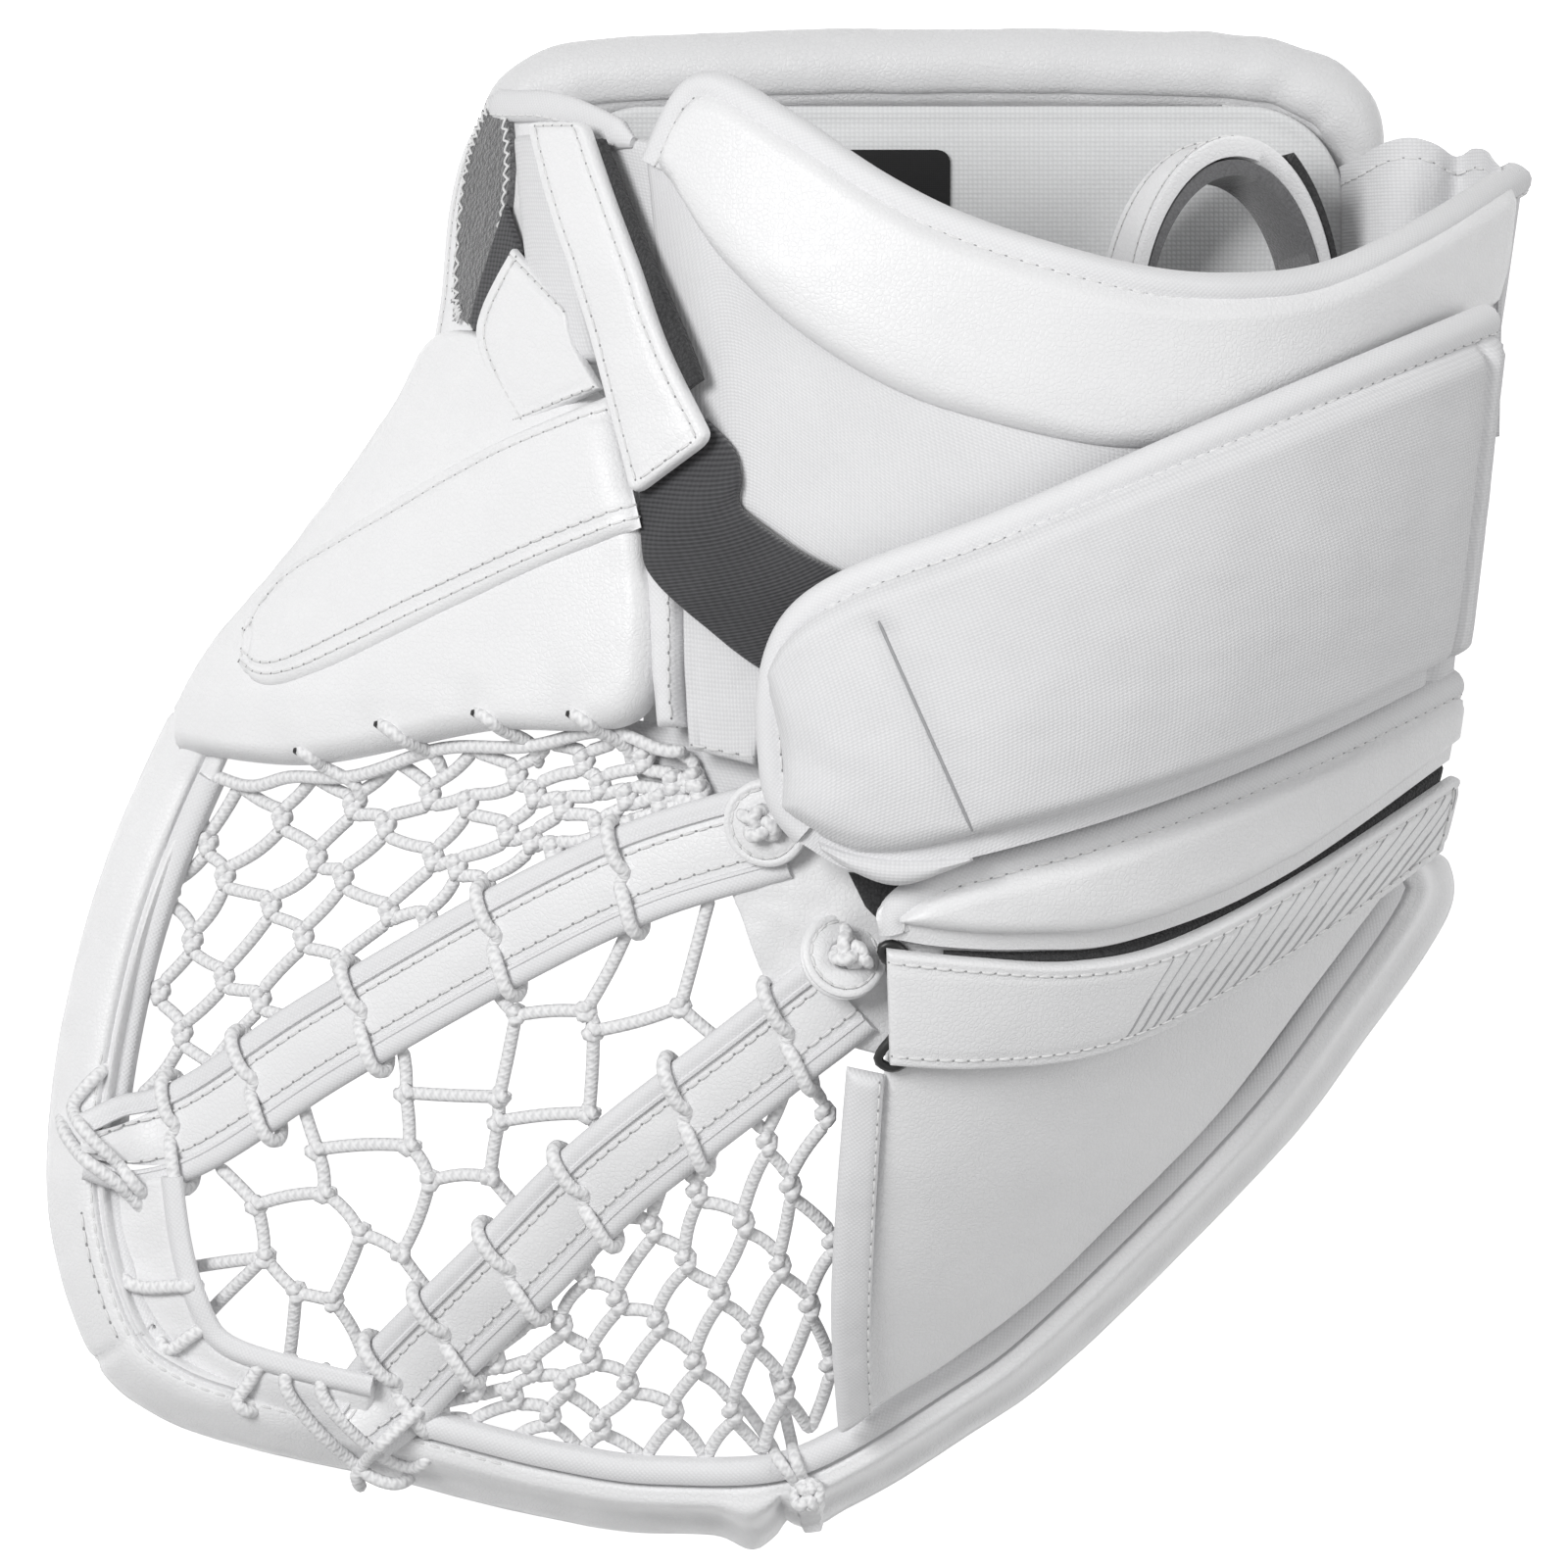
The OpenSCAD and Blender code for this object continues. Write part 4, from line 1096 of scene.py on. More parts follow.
def makeFlapTape():
    t = np.linspace(0, 1, 60)
    plan = curveThrough(flapTape["line"], t)
    line = onSkin(plan[:, 0], plan[:, 1], flapTape["lift"])
    ups = skinUp(plan[:, 0], plan[:, 1])
    flat = [(-3.8, -1.6), (-3.9, 0.0), (-3.2, 0.8), (-1.4, 1.3), (1.0, 1.4), (2.8, 1.0), (3.8, -0.2),
            (3.7, -1.8), (2.3, -3.2), (0, -3.5), (-2.3, -3.0)]

    def section(share, along):
        slim = min(1, 0.35 + share * 7, 0.35 + (1 - share) * 7)
        return [(a * slim, b * slim) for a, b in flat]
    sweep("flapBinding", line, ups, section, "binding_white", "hand", cell=1.4)
    side, up = frameAlong(line, ups)
    low = side if side[30, 1] < 0 else -side
    sew("hand", (line + low * 2.5 + up * 0.9)[5:-6], up[5:-6])


def makeThumb():
    panel(thumbPad)
    panel(thumbPanel)
    panel(thumbFlap)
    panel(loopPatch)
    panel(wristPad)
    panel(leatherPatch)
    # zigzag round the pile
    for side, count in (("t0", 44), ("t1", 40)):
        p, n = spotOn(loopPatch, *insetLine(loopPatch, side, 1.0, 0.03, 0.97, count).T)
        p = p - unitOf(np.cross(n, np.gradient(p, axis=0))) * np.where(np.arange(count) % 2, -1.0, 1.0)[:,
                                                                                                        None]
        steps = unitOf(np.diff(p, axis=0))
        stitchBank["hand"].append(((p[1:] + p[:-1]) / 2 + n[:-1] * 0.15, steps, n[:-1]))
    panel(elasticEnd)
    panel(wristWeb)
    makeFlapTape()


thumbBinding = {
    "name": "thumbBinding", "body": "hand", "slot": "binding_white",
    "upper": [(-34, 62), (-33, 40), (-32, 24), (-31, 13)],
    "lower": [(-26, 62), (-25, 40), (-25, 22), (-24, 13)], "low": 0.0, "high": 5.5, "cell": 1.2,
    "edge": 2.6, "thin": 0.05, "ripple": (14, 3, 0.3), "hump": 1.0, "seams": [("t1", 2.0, 0.02, 0.98)],
}

webPanel = {
    "name": "webPanel", "body": "hand", "slot": "woven_white",
    "upper": [(-25, 60), (-24.5, 40), (-24, 22), (-23, 8)],
    "lower": [(-12, 56), (-4, 42), (-2, 24), (-7, 4)], "low": 0.0, "high": 4.2, "cell": 1.6,
    "edge": 1.6, "ripple": (24, 8, 0.35), "furrows": [("t0", 3.6, 0.7, 0.7)],
    "seams": [("s1", 3.0, 0.1, 0.95)],
}


webFoot = {
    "name": "webFoot", "body": "hand", "slot": "woven_white", "upper": [(-46, 15), (-24, 13), (-2, 11)],
    "lower": [(-36, -4), (-18, -9), (0, -7)], "low": -9.6, "high": -7.6, "cell": 1.8, "edge": 1.2,
    "ripple": (20, 5, 0.4),
}


def makeWeb():
    panel(thumbBinding)
    panel(webPanel)
    panel(webFoot)


# wrist strap
def elasticBulge(s, t):
    return groove(s - 0.30, 0.16) * np.sin(math.pi * (t * 0.9 + 0.05))


wristElastic = {
    "name": "wristElastic", "body": "hand", "slot": "elastic_dark",
    "upper": [(-34.5, 79), (-34, 58), (-31, 48), (-18, 36), (-6, 27), (6, 22)],
    "lower": [(-19, 86), (-12.5, 79), (-10.5, 72), (-10.5, 65), (-1, 57), (10, 51), (22, 46)],
    "low": 5.0, "high": 7.2, "cell": 1.4, "edge": 0.8, "ripple": (26, 3, 0.3),
    "shape": lambda s, t, x, y, gap: 2.6 * elasticBulge(s, t),
    "under": lambda s, t, x, y, gap: 2.4 * elasticBulge(s, t),
}

wristHook = {
    "name": "wristHook", "body": "wrist_strap_end", "slot": "hook_tape",
    "upper": [(-58, 152), (-52, 128), (-44, 102), (-33, 86)],
    "lower": [(-43.5, 153), (-32.5, 126), (-22.5, 103), (-19.5, 95)], "low": 8.8, "high": 10.9,
    "cell": 1.2, "edge": 0.5, "ripple": (2.6, 3, 0.18, 2),
}

wristTab = {
    "name": "wristTab", "body": "wrist_strap_end", "slot": "leather_white",
    "upper": [(-62, 158), (-57, 139), (-51, 120), (-44, 96), (-36.5, 67.5)],
    "lower": [(-48, 157), (-42, 140), (-36, 124), (-28.5, 103), (-17.5, 81)], "low": 11.0, "high": 14.0,
    "cell": 1.3, "edge": 1.5, "corner": 4.0, "ripple": (34, 6, 0.4), "hump": 0.5,
    "furrows": [("edge", 3.0, 0.8, 0.55)],
    "seams": [(side, 2.4, 0.03, 0.97) for side in ("t0", "t1")]
    + [(side, 2.6, 0.18, 0.82) for side in ("s0", "s1")],
}


def makeWristStrap():
    asSheet(panel(wristElastic), wristElastic["top"])
    panel(wristHook)
    panel(wristTab)


# big pad over the back of the hand
seamLine = [(-10, -4), (0, -14), (12, -21), (24, -24), (36, -21), (70, -14), (117, 2), (170, 27)]


def seamY(x):
    return float(valueAt(seamLine, x))


def lineGap(x, y, a, b):
    ax, ay, bx, by = *a, *b
    length = math.hypot(bx - ax, by - ay)
    return np.abs((bx - ax) * (y - ay) - (by - ay) * (x - ax)) / length


padDart = {"from": (21, 40), "to": (46, -15)}


def backhandShape(s, t, x, y, gap):
    dart = lineGap(x, y, padDart["from"], padDart["to"])
    inside = steady(y, -22, -8)
    crease = waves(x, y, 34, 3) * 0.35 * steady(gap["edge"], 3, 14)
    corner = groove(np.hypot(x - 8, y + 8), 22)
    pleat = corner * (1.4 * np.sin((x * 0.55 + y * 0.9) / 2.6) * steady(gap["edge"], 0, 6))
    past = steady((x - padDart["from"][0]) * 0.91 + (y - padDart["from"][1]) * 0.42, -9, 0)
    dimple = groove(np.hypot((x - 20) / 1.6, y + 12), 8) * 1.8
    wall = 1.9 * groove(gap["s1"] - 9.5, 1.3) - 0.7 * groove(gap["s1"] - 5.5, 3.4)
    belly = 2.0 * np.sin(math.pi * t) * steady(gap["s"], 0, 20)
    rise = belly + crease + pleat * 0.35 - dimple + past * 0.5 - 0.5 * groove(dart, 6.0) * inside
    return rise * steady(gap["edge"], 5, 9) - wall


backhandPad = {
    "name": "backhandPad", "body": "backhand_flap", "slot": "woven_white",
    "upper": [(-8, 24), (-1, 39), (14, 49), (47, 61), (94, 80), (142, 99), (174, 112)],
    "lower": [(x, seamY(x) + 1) for x in (-6, 4, 20, 48, 88, 126, 165)], "low": 13.0, "high": 23.0,
    "cell": 1.15, "edge": 5.5, "thin": 0.42, "flange": 5.6, "corner": 24, "square": ("a1", "b1"),
    "bare": ("s1",), "shape": backhandShape,
}

padPleat = {
    "name": "padPleat", "body": "backhand_flap", "slot": "woven_white",
    "upper": [(7, -13), (16, -16), (27, -17.5), (44, -17)],
    "lower": [(8, -16), (16, -21.5), (28, -24.5), (45, -18.6)], "low": 12.5, "high": 19.6, "cell": 1.2,
    "edge": 3.0, "thin": 0.3, "ripple": (16, 4, 0.3),
}


def sinkDart(obj):
    # the seam's valley, pressed into the finished surface
    co = coords(obj) / mm
    gap = lineGap(co[:, 0], co[:, 1], padDart["from"], padDart["to"])
    run = (padDart["from"][1] - co[:, 1]) / (padDart["from"][1] - padDart["to"][1])
    ends = steady(run, -0.02, 0.10) * (1 - steady(run, 0.86, 1.0))
    co[:, 2] -= ends * (1.1 * groove(gap, 2.4) + 0.9 * groove(gap, 6.0))
    setCoords(obj, co * mm)


def makeBackhandPad():
    obj = panel(backhandPad)
    sinkDart(obj)
    bindEdge(backhandPad, ["-t0", "s0", "t1"], "backhandBinding", width=6.6, bulk=1.0, puff=1.0, end=0.60)
    panel(padPleat)
    # a thin dark strip laid along the dart's valley: painted shade in the seam
    x = np.linspace(padDart["from"][0] + 1, padDart["to"][0] - 2, 60)
    y = np.linspace(padDart["from"][1] - 2, padDart["to"][1] + 4, 60)
    bpy.context.view_layer.update()
    floor = smoothed(topOf(["backhandPad"], x, y, np.full(60, 60.0)), 3)
    line = np.stack([x, y, floor + 0.12], -1)
    laces("padDartSeam", [line], "backhand_flap", thick=0.8, sides=6, cell=1.5, slotName="woven_white",
          material=seamShade)


# fingers
panelTop = [(27, -33), (50, -26), (84, -17), (120, -4), (160, 16)]
panelLow = [(17, -153.9), (37.2, -142.4), (60.3, -125.4), (82.3, -103.9), (105.3, -80.4), (127.3, -51.3),
            (145.3, -27.2)]
fingerPanel = {
    "name": "fingerPanel", "body": "fingers", "slot": "leather_white", "upper": panelTop,
    "lower": panelLow, "low": 0.0, "high": 4.0, "cell": 2.2, "edge": 2.2, "ripple": (70, 5, 0.5),
    "calm": (3, 18),
    "shape": lambda s, t, x, y, gap: waves(x, y, 16, 2, 2) * 0.12 * groove(gap["edge"] - 5, 6),
}

fingerPad = {
    "name": "fingerPad", "body": "fingers", "slot": "leather_white",
    "upper": [(x, -31 if x < 24 else -22 if x < 35 else seamY(x) + 0.5)
              for x in (21, 34, 52, 84, 126, 166)],
    "lower": [(23, -37), (37, -39.5), (58, -40.5), (84, -38.5), (122, -23), (164, 5)], "low": 4.3,
    "high": 12.2, "cell": 1.3, "edge": 4.5, "thin": 0.5, "flange": 5.2, "corner": 7,
    "square": ("a1", "b1"), "bare": ("s1",), "ripple": (30, 4, 0.3), "calm": (1, 8), "hump": 0.8,
    "shape": lambda s, t, x, y, gap: waves(x, y, 9, 5, 2) * 0.12 * groove(gap["t0"] - 8, 4),
}

fingerHook = {
    "name": "fingerHook", "body": "fingers", "slot": "hook_tape",
    "upper": [(38, -40), (60, -40.5), (84, -38), (120, -22.5), (160, 4.5)],
    "lower": [(38, -58), (60, -58), (84, -54), (120, -38), (156, -12)], "low": 4.2, "high": 6.8,
    "cell": 1.6, "edge": 0.6, "ripple": (2.6, 3, 0.15, 2),
}

fingerStrap = {
    "name": "fingerStrap", "body": "finger_strap_end", "slot": "leather_white",
    "upper": [(24, -39.5), (45, -41.8), (70, -43), (94, -38), (128, -20.5), (165, 2.5)],
    "lower": [(25, -67), (45, -68), (70, -66), (94, -58), (126, -40), (160, -17)], "low": 7.1,
    "high": 10.1, "cell": 1.6, "edge": 1.5, "corner": 3.5, "square": ("a0", "b0"),
    "ripple": (46, 9, 0.3), "hump": 0.25, "furrows": [("t", 2.8, 0.8, 0.5), ("s1", 3.0, 0.8, 0.5)],
    "seams": [("t0", 2.6, 0.01, 0.98), ("t1", 2.6, 0.01, 0.98), ("s1", 2.8, 0.12, 0.88)],
}

fingerEdge = {
    "name": "fingerBinding", "body": "fingers", "slot": "binding_white",
    "upper": [(14.6, -68), (12.4, -100), (11.6, -130), (14, -158)],
    "lower": [(24, -70), (22.5, -100), (21.5, -130), (22, -152)], "low": 3.2, "high": 6.4, "cell": 1.3,
    "edge": 2.6, "thin": 0.05, "ripple": (12, 3, 0.15), "hump": 0.5, "seams": [("t1", 1.4, 0.02, 0.98)],
}


def makeFingers():
    panel(fingerPanel)
    panel(fingerPad)
    bindEdge(fingerPad, ["-t0", "s0"], "fingerPadBinding", width=6.2, bulk=0.9, puff=0.9)
    panel(fingerHook)
    panel(fingerStrap)
    panel(fingerEdge)


strapLoop = {
    "ring": [(24.6, -40.4), (25.8, -46), (26.0, -52), (25.4, -57), (22.9, -60.4), (22.1, -62.9),
             (25.2, -64.4), (28.4, -62.2), (29.6, -57.5), (30, -52), (29.8, -45.5), (29.0, -39.6),
             (26.2, -36.0), (23.0, -36.8)],
    "lift": 5.9, "thick": 2.4,
}


def makeStrapLoop():
    ring = strapLoop["ring"]
    plan = curveThrough(ring + [ring[0]], np.linspace(0, 1, 80))
    p = onSkin(plan[:, 0], plan[:, 1], strapLoop["lift"])
    laces("strapLoop", [p], "fingers", thick=strapLoop["thick"], sides=10, cell=1.2,
          slotName="plastic_black")


# rows are the shares where the lines start and end and half their width
hashMarks = {
    "count": 17, "first": 0.50, "last": 0.93, "lean": 0.125, "above": 0.10, "below": 0.3, "steps": 7,
    "rows": ((0.15, 0.5, 0.0011), (0.5, 0.86, 0.0030)),
}


def makeHashMarks():
    # plain slanted printed lines: a thin row above, a thick row below
    verts, faces = [], []
    steps = hashMarks["steps"]
    for s in np.linspace(hashMarks["first"], hashMarks["last"], hashMarks["count"]):
        for t0, t1, w in hashMarks["rows"]:
            t = np.linspace(t0, t1, steps)
            lean = (hashMarks["rows"][-1][1] - t) * hashMarks["lean"]
            a, n = spotOn(fingerStrap, np.clip(s + lean - w, 0, 0.985), t)
            b = spotOn(fingerStrap, np.clip(s + lean + w, 0, 0.987), t)[0]
            base = len(verts)
            for p, q, up in zip(a, b, n):
                above, below = up * hashMarks["above"], up * -hashMarks["below"]
                verts += [p + below, p + above, q + above, q + below]
            for c in range(base, base + 4 * (steps - 1), 4):
                faces += [(c + r, c + (r + 1) % 4, c + 4 + (r + 1) % 4, c + 4 + r) for r in range(4)]
            last = base + 4 * (steps - 1)
            faces += [(base, base + 3, base + 2, base + 1), (last, last + 1, last + 2, last + 3)]
    obj = meshObject("hashMarks", verts, faces)
    fixNormals(obj)
    finishPiece(obj, "hashMarks", "leather_white", "finger_strap_end", material=hashGrey, smooth=30)


# rim of the catching face
rimLine = [(160, -14), (163, -30), (143, -61), (119, -92), (72, -139), (47, -158), (8, -180), (-30, -183),
           (-60, -179), (-94, -170.5),
           (-128, -163), (-152, -155), (-168, -142), (-178, -115), (-180, -85), (-174, -47), (-164, -14),
           (-147, 24)]
rimLength = 680
# where each part of the rim runs and how far its ends tuck under its neighbours, as shares of the line;
# seams are stitch rows: mm in from the outer edge, and the shares where they start and end
rimParts = {
    "rimFingers": {"body": "fingers", "run": (0.0, 0.3662), "tuck": (0, 0), "seams": [(14.9, 0.02, 0.9)]},
    "rimBottom": {"body": "fingers", "run": (0.3668, 0.7045), "tuck": (0.004, 0.006),
                  "seams": [(11.6, 0.35, 1.0)]},
    "rimThumb": {"body": "hand", "run": (0.7055, 0.993), "tuck": (0, 0),
                 "seams": [(11.6, 0.0, 0.55), (8.8, 0.02, 0.30)]},
}


def rimFrame(t):
    p = curveThrough(rimLine, t)
    d = unitOf(curveThrough(rimLine, np.minimum(t + 0.02, 1))
               - curveThrough(rimLine, np.maximum(t - 0.02, 0)))
    inward = np.stack([d[:, 1], -d[:, 0]], -1)
    return p, inward


def rimTop(p, inward):
    e = p + inward * 17.5
    return np.clip(sampled(heights, e[:, 0], e[:, 1]) - 0.5, crown["rim"] - 4, crown["rim"] + 14)


def rimSection(top):
    # outer face, shoulder, dip and inner face of the rim, as mm inward and mm up
    shoulder = max(crown["rim"], top - 2)
    corners = [(0.4, 0.2), (-0.4, 4), (0, 9), (2.0, 15), (5, 19.5), (7.6, shoulder - 1.5),
               (10.4, shoulder + 0.2),
               (12.2, shoulder + 0.3), (13.3, shoulder - 1.0), (14.6, shoulder + 0.9), (16.6, top + 0.4),
               (18.0, top - 0.6),
               (18.2, top - 4), (17, top - 8), (14, 12), (12.4, 7), (11, 0.2)]
    return curveThrough(corners + [corners[0]], np.linspace(0, 1, 57)[:-1]).T


def rimPush(name, a, z, at, left, past):
    # creases, the seam along the foot and the bulges at the joints; left is mm to the far end
    face = groove(z - 15, 9.0) * (a < 10)
    here = np.full(len(a), at)
    push = waves(here, z * 1.2, 46, 5) * 0.7 * face + waves(here, z * 2, 13, 2, 2) * 0.18 * face
    push = push + 0.9 * groove(z - 7.5, 1.7) * (a < 6)
    if name == "rimBottom":
        joint = 2.6 * groove(at, 2.2) - 4.2 * groove(at - 9.5, 5.5) + 0.8 * groove(past - 0.003, 0.004)
    elif name == "rimFingers":
        joint = 3.2 * groove(left, 3.0) - 1.2 * groove(left - 9, 5.0)
    else:
        joint = 1.6 * groove(at, 2.5)
    return push + steady(-a, -13, -4) * joint


def makeRim():
    for name, part in rimParts.items():
        body, (t0, t1), tuck = part["body"], part["run"], part["tuck"]
        count = int(rimLength * (t1 - t0 + sum(tuck)) / 1.6) + 2
        t = np.linspace(t0 - tuck[0], t1 + tuck[1], count)
        p, inward = rimFrame(t)
        f = rimTop(p, inward)
        step = np.concatenate([[0], np.cumsum(np.linalg.norm(np.diff(p, axis=0), axis=1))])
        rows = []
        for k in range(count):
            a, z = rimSection(f[k])
            a = a + rimPush(name, a, z, step[k], step[-1] - step[k], t[k] - t1)
            z = np.maximum(z, 0.0)
            free = {"rimFingers": step[k], "rimThumb": step[-1] - step[k]}.get(name, 99)
            if free < 6:
                keep = math.sqrt(max(0.02, 1 - (1 - free / 6) ** 2))
                a, z = 9 + (a - 9) * keep, z * (0.55 + 0.45 * keep)
            rows.append(np.stack([p[k, 0] + inward[k, 0] * a, p[k, 1] + inward[k, 1] * a, z], -1))
        loft(name, np.array(rows), step, "leather_white", body)
        # woven lip inside the leather, and the stitches
        lipAt = np.concatenate([p + inward * 16.2, f[:, None] + 0.2], 1)
        ups = np.concatenate([inward * -0.25, np.ones((count, 1))], 1)
        lip = [(-3.0, -1.2), (-3.0, 0.4), (-2.2, 1.0), (0, 1.5), (2.2, 1.0), (3.1, 0.0), (3.2, -3.5),
               (2.4, -4.2), (1.6, -3.4),
               (1.4, -1.4)]
        shown = slice(3 if name == "rimFingers" else 0, -9 if name == "rimThumb" else None)
        sweep(name + "Lip", lipAt[shown], ups[shown], lip, "binding_white", body, cell=2.0)
        for inset, first, last in part["seams"]:
            top = np.maximum(crown["rim"], f - 2) + (0.25 if inset > 9 else 0.25 - (11 - inset) * 0.30)
            seam = np.concatenate([p + inward * inset, top[:, None]],
                                  1)[int(first * count) + 2:int(last * count) - 2]
            sew(body, seam, np.tile([0.0, 0, 1], (len(seam), 1)))


rimCorner = {
    "name": "rimCorner", "body": None, "slot": "leather_white",
    "upper": [(-168, -97), (-165, -122), (-155, -142), (-135, -152), (-101, -160)],
    "lower": [(-149, -95), (-147, -112), (-143, -126), (-134, -138), (-99, -146.5)], "low": 0.0,
    "high": 3.2, "cell": 1.6, "edge": 1.5, "raw": True, "ripple": (20, 5, 0.4),
}


# ribs of the pocket
upperRib = [(-172, -88), (-147, -84), (-112, -62), (-70, -38), (-35, -21), (-2, -11)]
lowerRib = [(-104, -158), (-87, -139), (-66, -118), (-42, -94), (-9, -68), (14, -50)]
rib = {
    "wide": 23.5, "thick": 3.4, "lift": -0.6, "tape": 5.2,
    "overRim": {"upperRib": 26.4, "lowerRib": 29.2}, "narrow": {"upperRib": 0.34, "lowerRib": 0.16},
}


def makeRib(name, node, line, body):
    t = np.linspace(0, 1, 120)
    plan = curveThrough(line, t)
    n = skinUp(plan[:, 0], plan[:, 1])
    spine = onSkin(plan[:, 0], plan[:, 1], rib["lift"] - rib["thick"] / 2)
    # the outer end comes up over the rim, flat and narrower
    over = (1 - steady(t, 0.04, 0.26))[:, None]
    spine[:, 2:] += over * (np.log(np.exp(spine[:, 2:] / 1.5) + np.exp(rib["overRim"][name] / 1.5)) * 1.5
                            - spine[:, 2:])
    n = unitOf(n * (1 - over) + np.array([0, 0, 1.0]) * over)
    slim = 1 - rib["narrow"][name] * (1 - steady(t, 0.0, 0.12))
    halves = rib["wide"] / 2 * slim

    def middle(share, at):
        inner = float(np.interp(share, t, halves)) - rib["tape"] + 0.8
        puff = 0.25 * math.sin(at / 9.0) + 0.2 * math.sin(at / 3.7)
        half = [(-inner, -1.5), (-inner, 1.0), (-inner + 1.5, 1.5), (-inner * 0.45, 1.9 + puff * 0.3)]
        return half + [(0, 2.05 + puff * 0.4)] + [(-a, b) for a, b in half[::-1]] + [(0, -1.7)]
    sweep(name, spine, n, middle, "leather_white", body, [node], cell=1.8)
    side, up = frameAlong(spine, n)
    w = rib["tape"] / 2
    for q, tag in ((1, "TapeA"), (-1, "TapeB")):
        tapeLine = spine + side * q * (halves - w + 0.2)[:, None]
        # the tape has a thin ridge where its folded edge meets the leather
        tape = [(-w * q, -0.4), ((-w - 0.1) * q, 1.5), ((-w + 0.2) * q, 2.45), ((-w + 0.9) * q, 2.5),
                ((-w + 1.2) * q, 2.05), (0, 2.2), (w * 0.4 * q, 2.05), (w * 0.8 * q, 1.4),
                ((w + 0.15) * q, 0.2), (w * 0.85 * q, -1.3), (0, -2.0), (-w * q, -1.6)]
        sweep(name + tag, tapeLine, n, tape, "binding_white", body, cell=1.8)
        sew(body, tapeLine - side * q * (w + 1.9) + up * 1.75, up)


ribWeb = {
    "name": "ribWeb", "body": None, "slot": "leather_white",
    "upper": [(-16, -20), (-5, -12), (10, -9), (38, -15)],
    "lower": [(-6, -46), (3, -56), (16, -64), (36, -68)], "low": -5.2, "high": -2.4, "cell": 1.8,
    "edge": 1.4, "corner": 5, "ripple": (22, 4, 0.7),
}

# a small dark patch in hook-tape finish under the washer: painted shade for the deep gap inside the glove
foldLoop = {
    "name": "foldLoop", "body": None, "slot": "hook_tape", "upper": [(15, -21), (23, -21.5), (33, -23)],
    "lower": [(19, -29), (23.5, -32.5), (31, -29.5)], "low": -1.6, "high": -0.4, "cell": 1.0,
    "edge": 0.5,
}


handBack = {
    "name": "handBack", "body": None, "slot": "woven_white",
    "upper": [(10, 40), (28, 42), (50, 46), (76, 56), (100, 66), (122, 74), (150, 84), (168, 92)],
    "lower": [(26, -36), (44, -30), (62, -25), (84, -18), (104, -11), (124, -3), (146, 8), (162, 14)],
    "low": -5.4, "high": -3.6, "cell": 3.0, "edge": 1.2, "ripple": (40, 4, 0.4),
}


def acrossFold(obj):
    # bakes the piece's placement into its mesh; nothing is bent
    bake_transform(obj)


def makeRibs():
    acrossFold(panel(ribWeb))
    acrossFold(panel(foldLoop))
    inner = panel(handBack)
    acrossFold(inner)
    asSheet(inner, handBack["top"])
    makeRib("upperRib", "t_strap_upper", upperRib, "hand")
    makeRib("lowerRib", "t_strap_lower", lowerRib, "fingers")
    acrossFold(panel(rimCorner))
    acrossFold(bindEdge(rimCorner, ["t1"], "rimCornerLip", width=5.4, bulk=1.0, puff=0.9, sewn=False))


# washers and knots
washers = {
    "upper": {"at": (-3.5, -9), "body": "hand", "lean": (0, 0), "turn": 3.6},
    "lower": {"at": (13.5, -41), "body": "fingers", "lean": (0.42, 0.62), "turn": 2.6},
    "radius": 10.4, "hole": 3.2, "thick": 3.2, "lift": 0.3, "steps": 56,
}


def makeWasher(key):
    body = washers[key]["body"]
    at = np.array([washers[key]["at"]], float).T
    base = onSkin(*at, washers["lift"])[0]
    up = unitOf(skinUp(*at)[0] + np.array([*washers[key]["lean"], 0]))
    side = unitOf(np.cross(up, [0, 1, 0.0]))
    fore = np.cross(up, side)
    r, h, t = washers["radius"], washers["hole"], washers["thick"]
    # round the hole, the flat foot, the edge, the furrow of the seam and the crowned top
    sec = [(h, 0.3), (h + 0.3, 0), (r - 0.8, 0), (r, 0.4), (r + 0.1, t * 0.36), (r - 0.2, t * 0.46),
           (r - 0.9, t * 0.5),
           (r - 0.3, t * 0.56), (r - 0.1, t - 0.6), (r - 0.6, t - 0.1), (r - 1.5, t - 0.1),
           (r - 2.1, t - 0.55),
           (r - 2.7, t - 0.1), (h + 1.2, t + 0.1), (h + 0.3, t - 0.2), (h, t - 0.7)]
    rows, turns = [], np.linspace(0, twoPi, washers["steps"] + 1)
    for a in turns:
        out, dish = side * math.cos(a) + fore * math.sin(a), 0.25 * math.cos(2 * a + 0.7)
        rows.append([base + out * q + up * (z + dish * (q / r) ** 2) for q, z in sec])
    obj = loft(key + "Washer", np.array(rows), turns * r, "leather_white", body, ["washer_" + key],
               caps=False)
    fixNormals(obj, 1e-6)
    around = np.linspace(0, twoPi, 50)[:, None]
    ring = base + (side * np.cos(around) + fore * np.sin(around)) * (r - 2.1) + up * (t - 0.35)
    sew(body, ring, np.tile(up, (50, 1)), 3.0)
    makeKnot(key, base, side, fore, up)


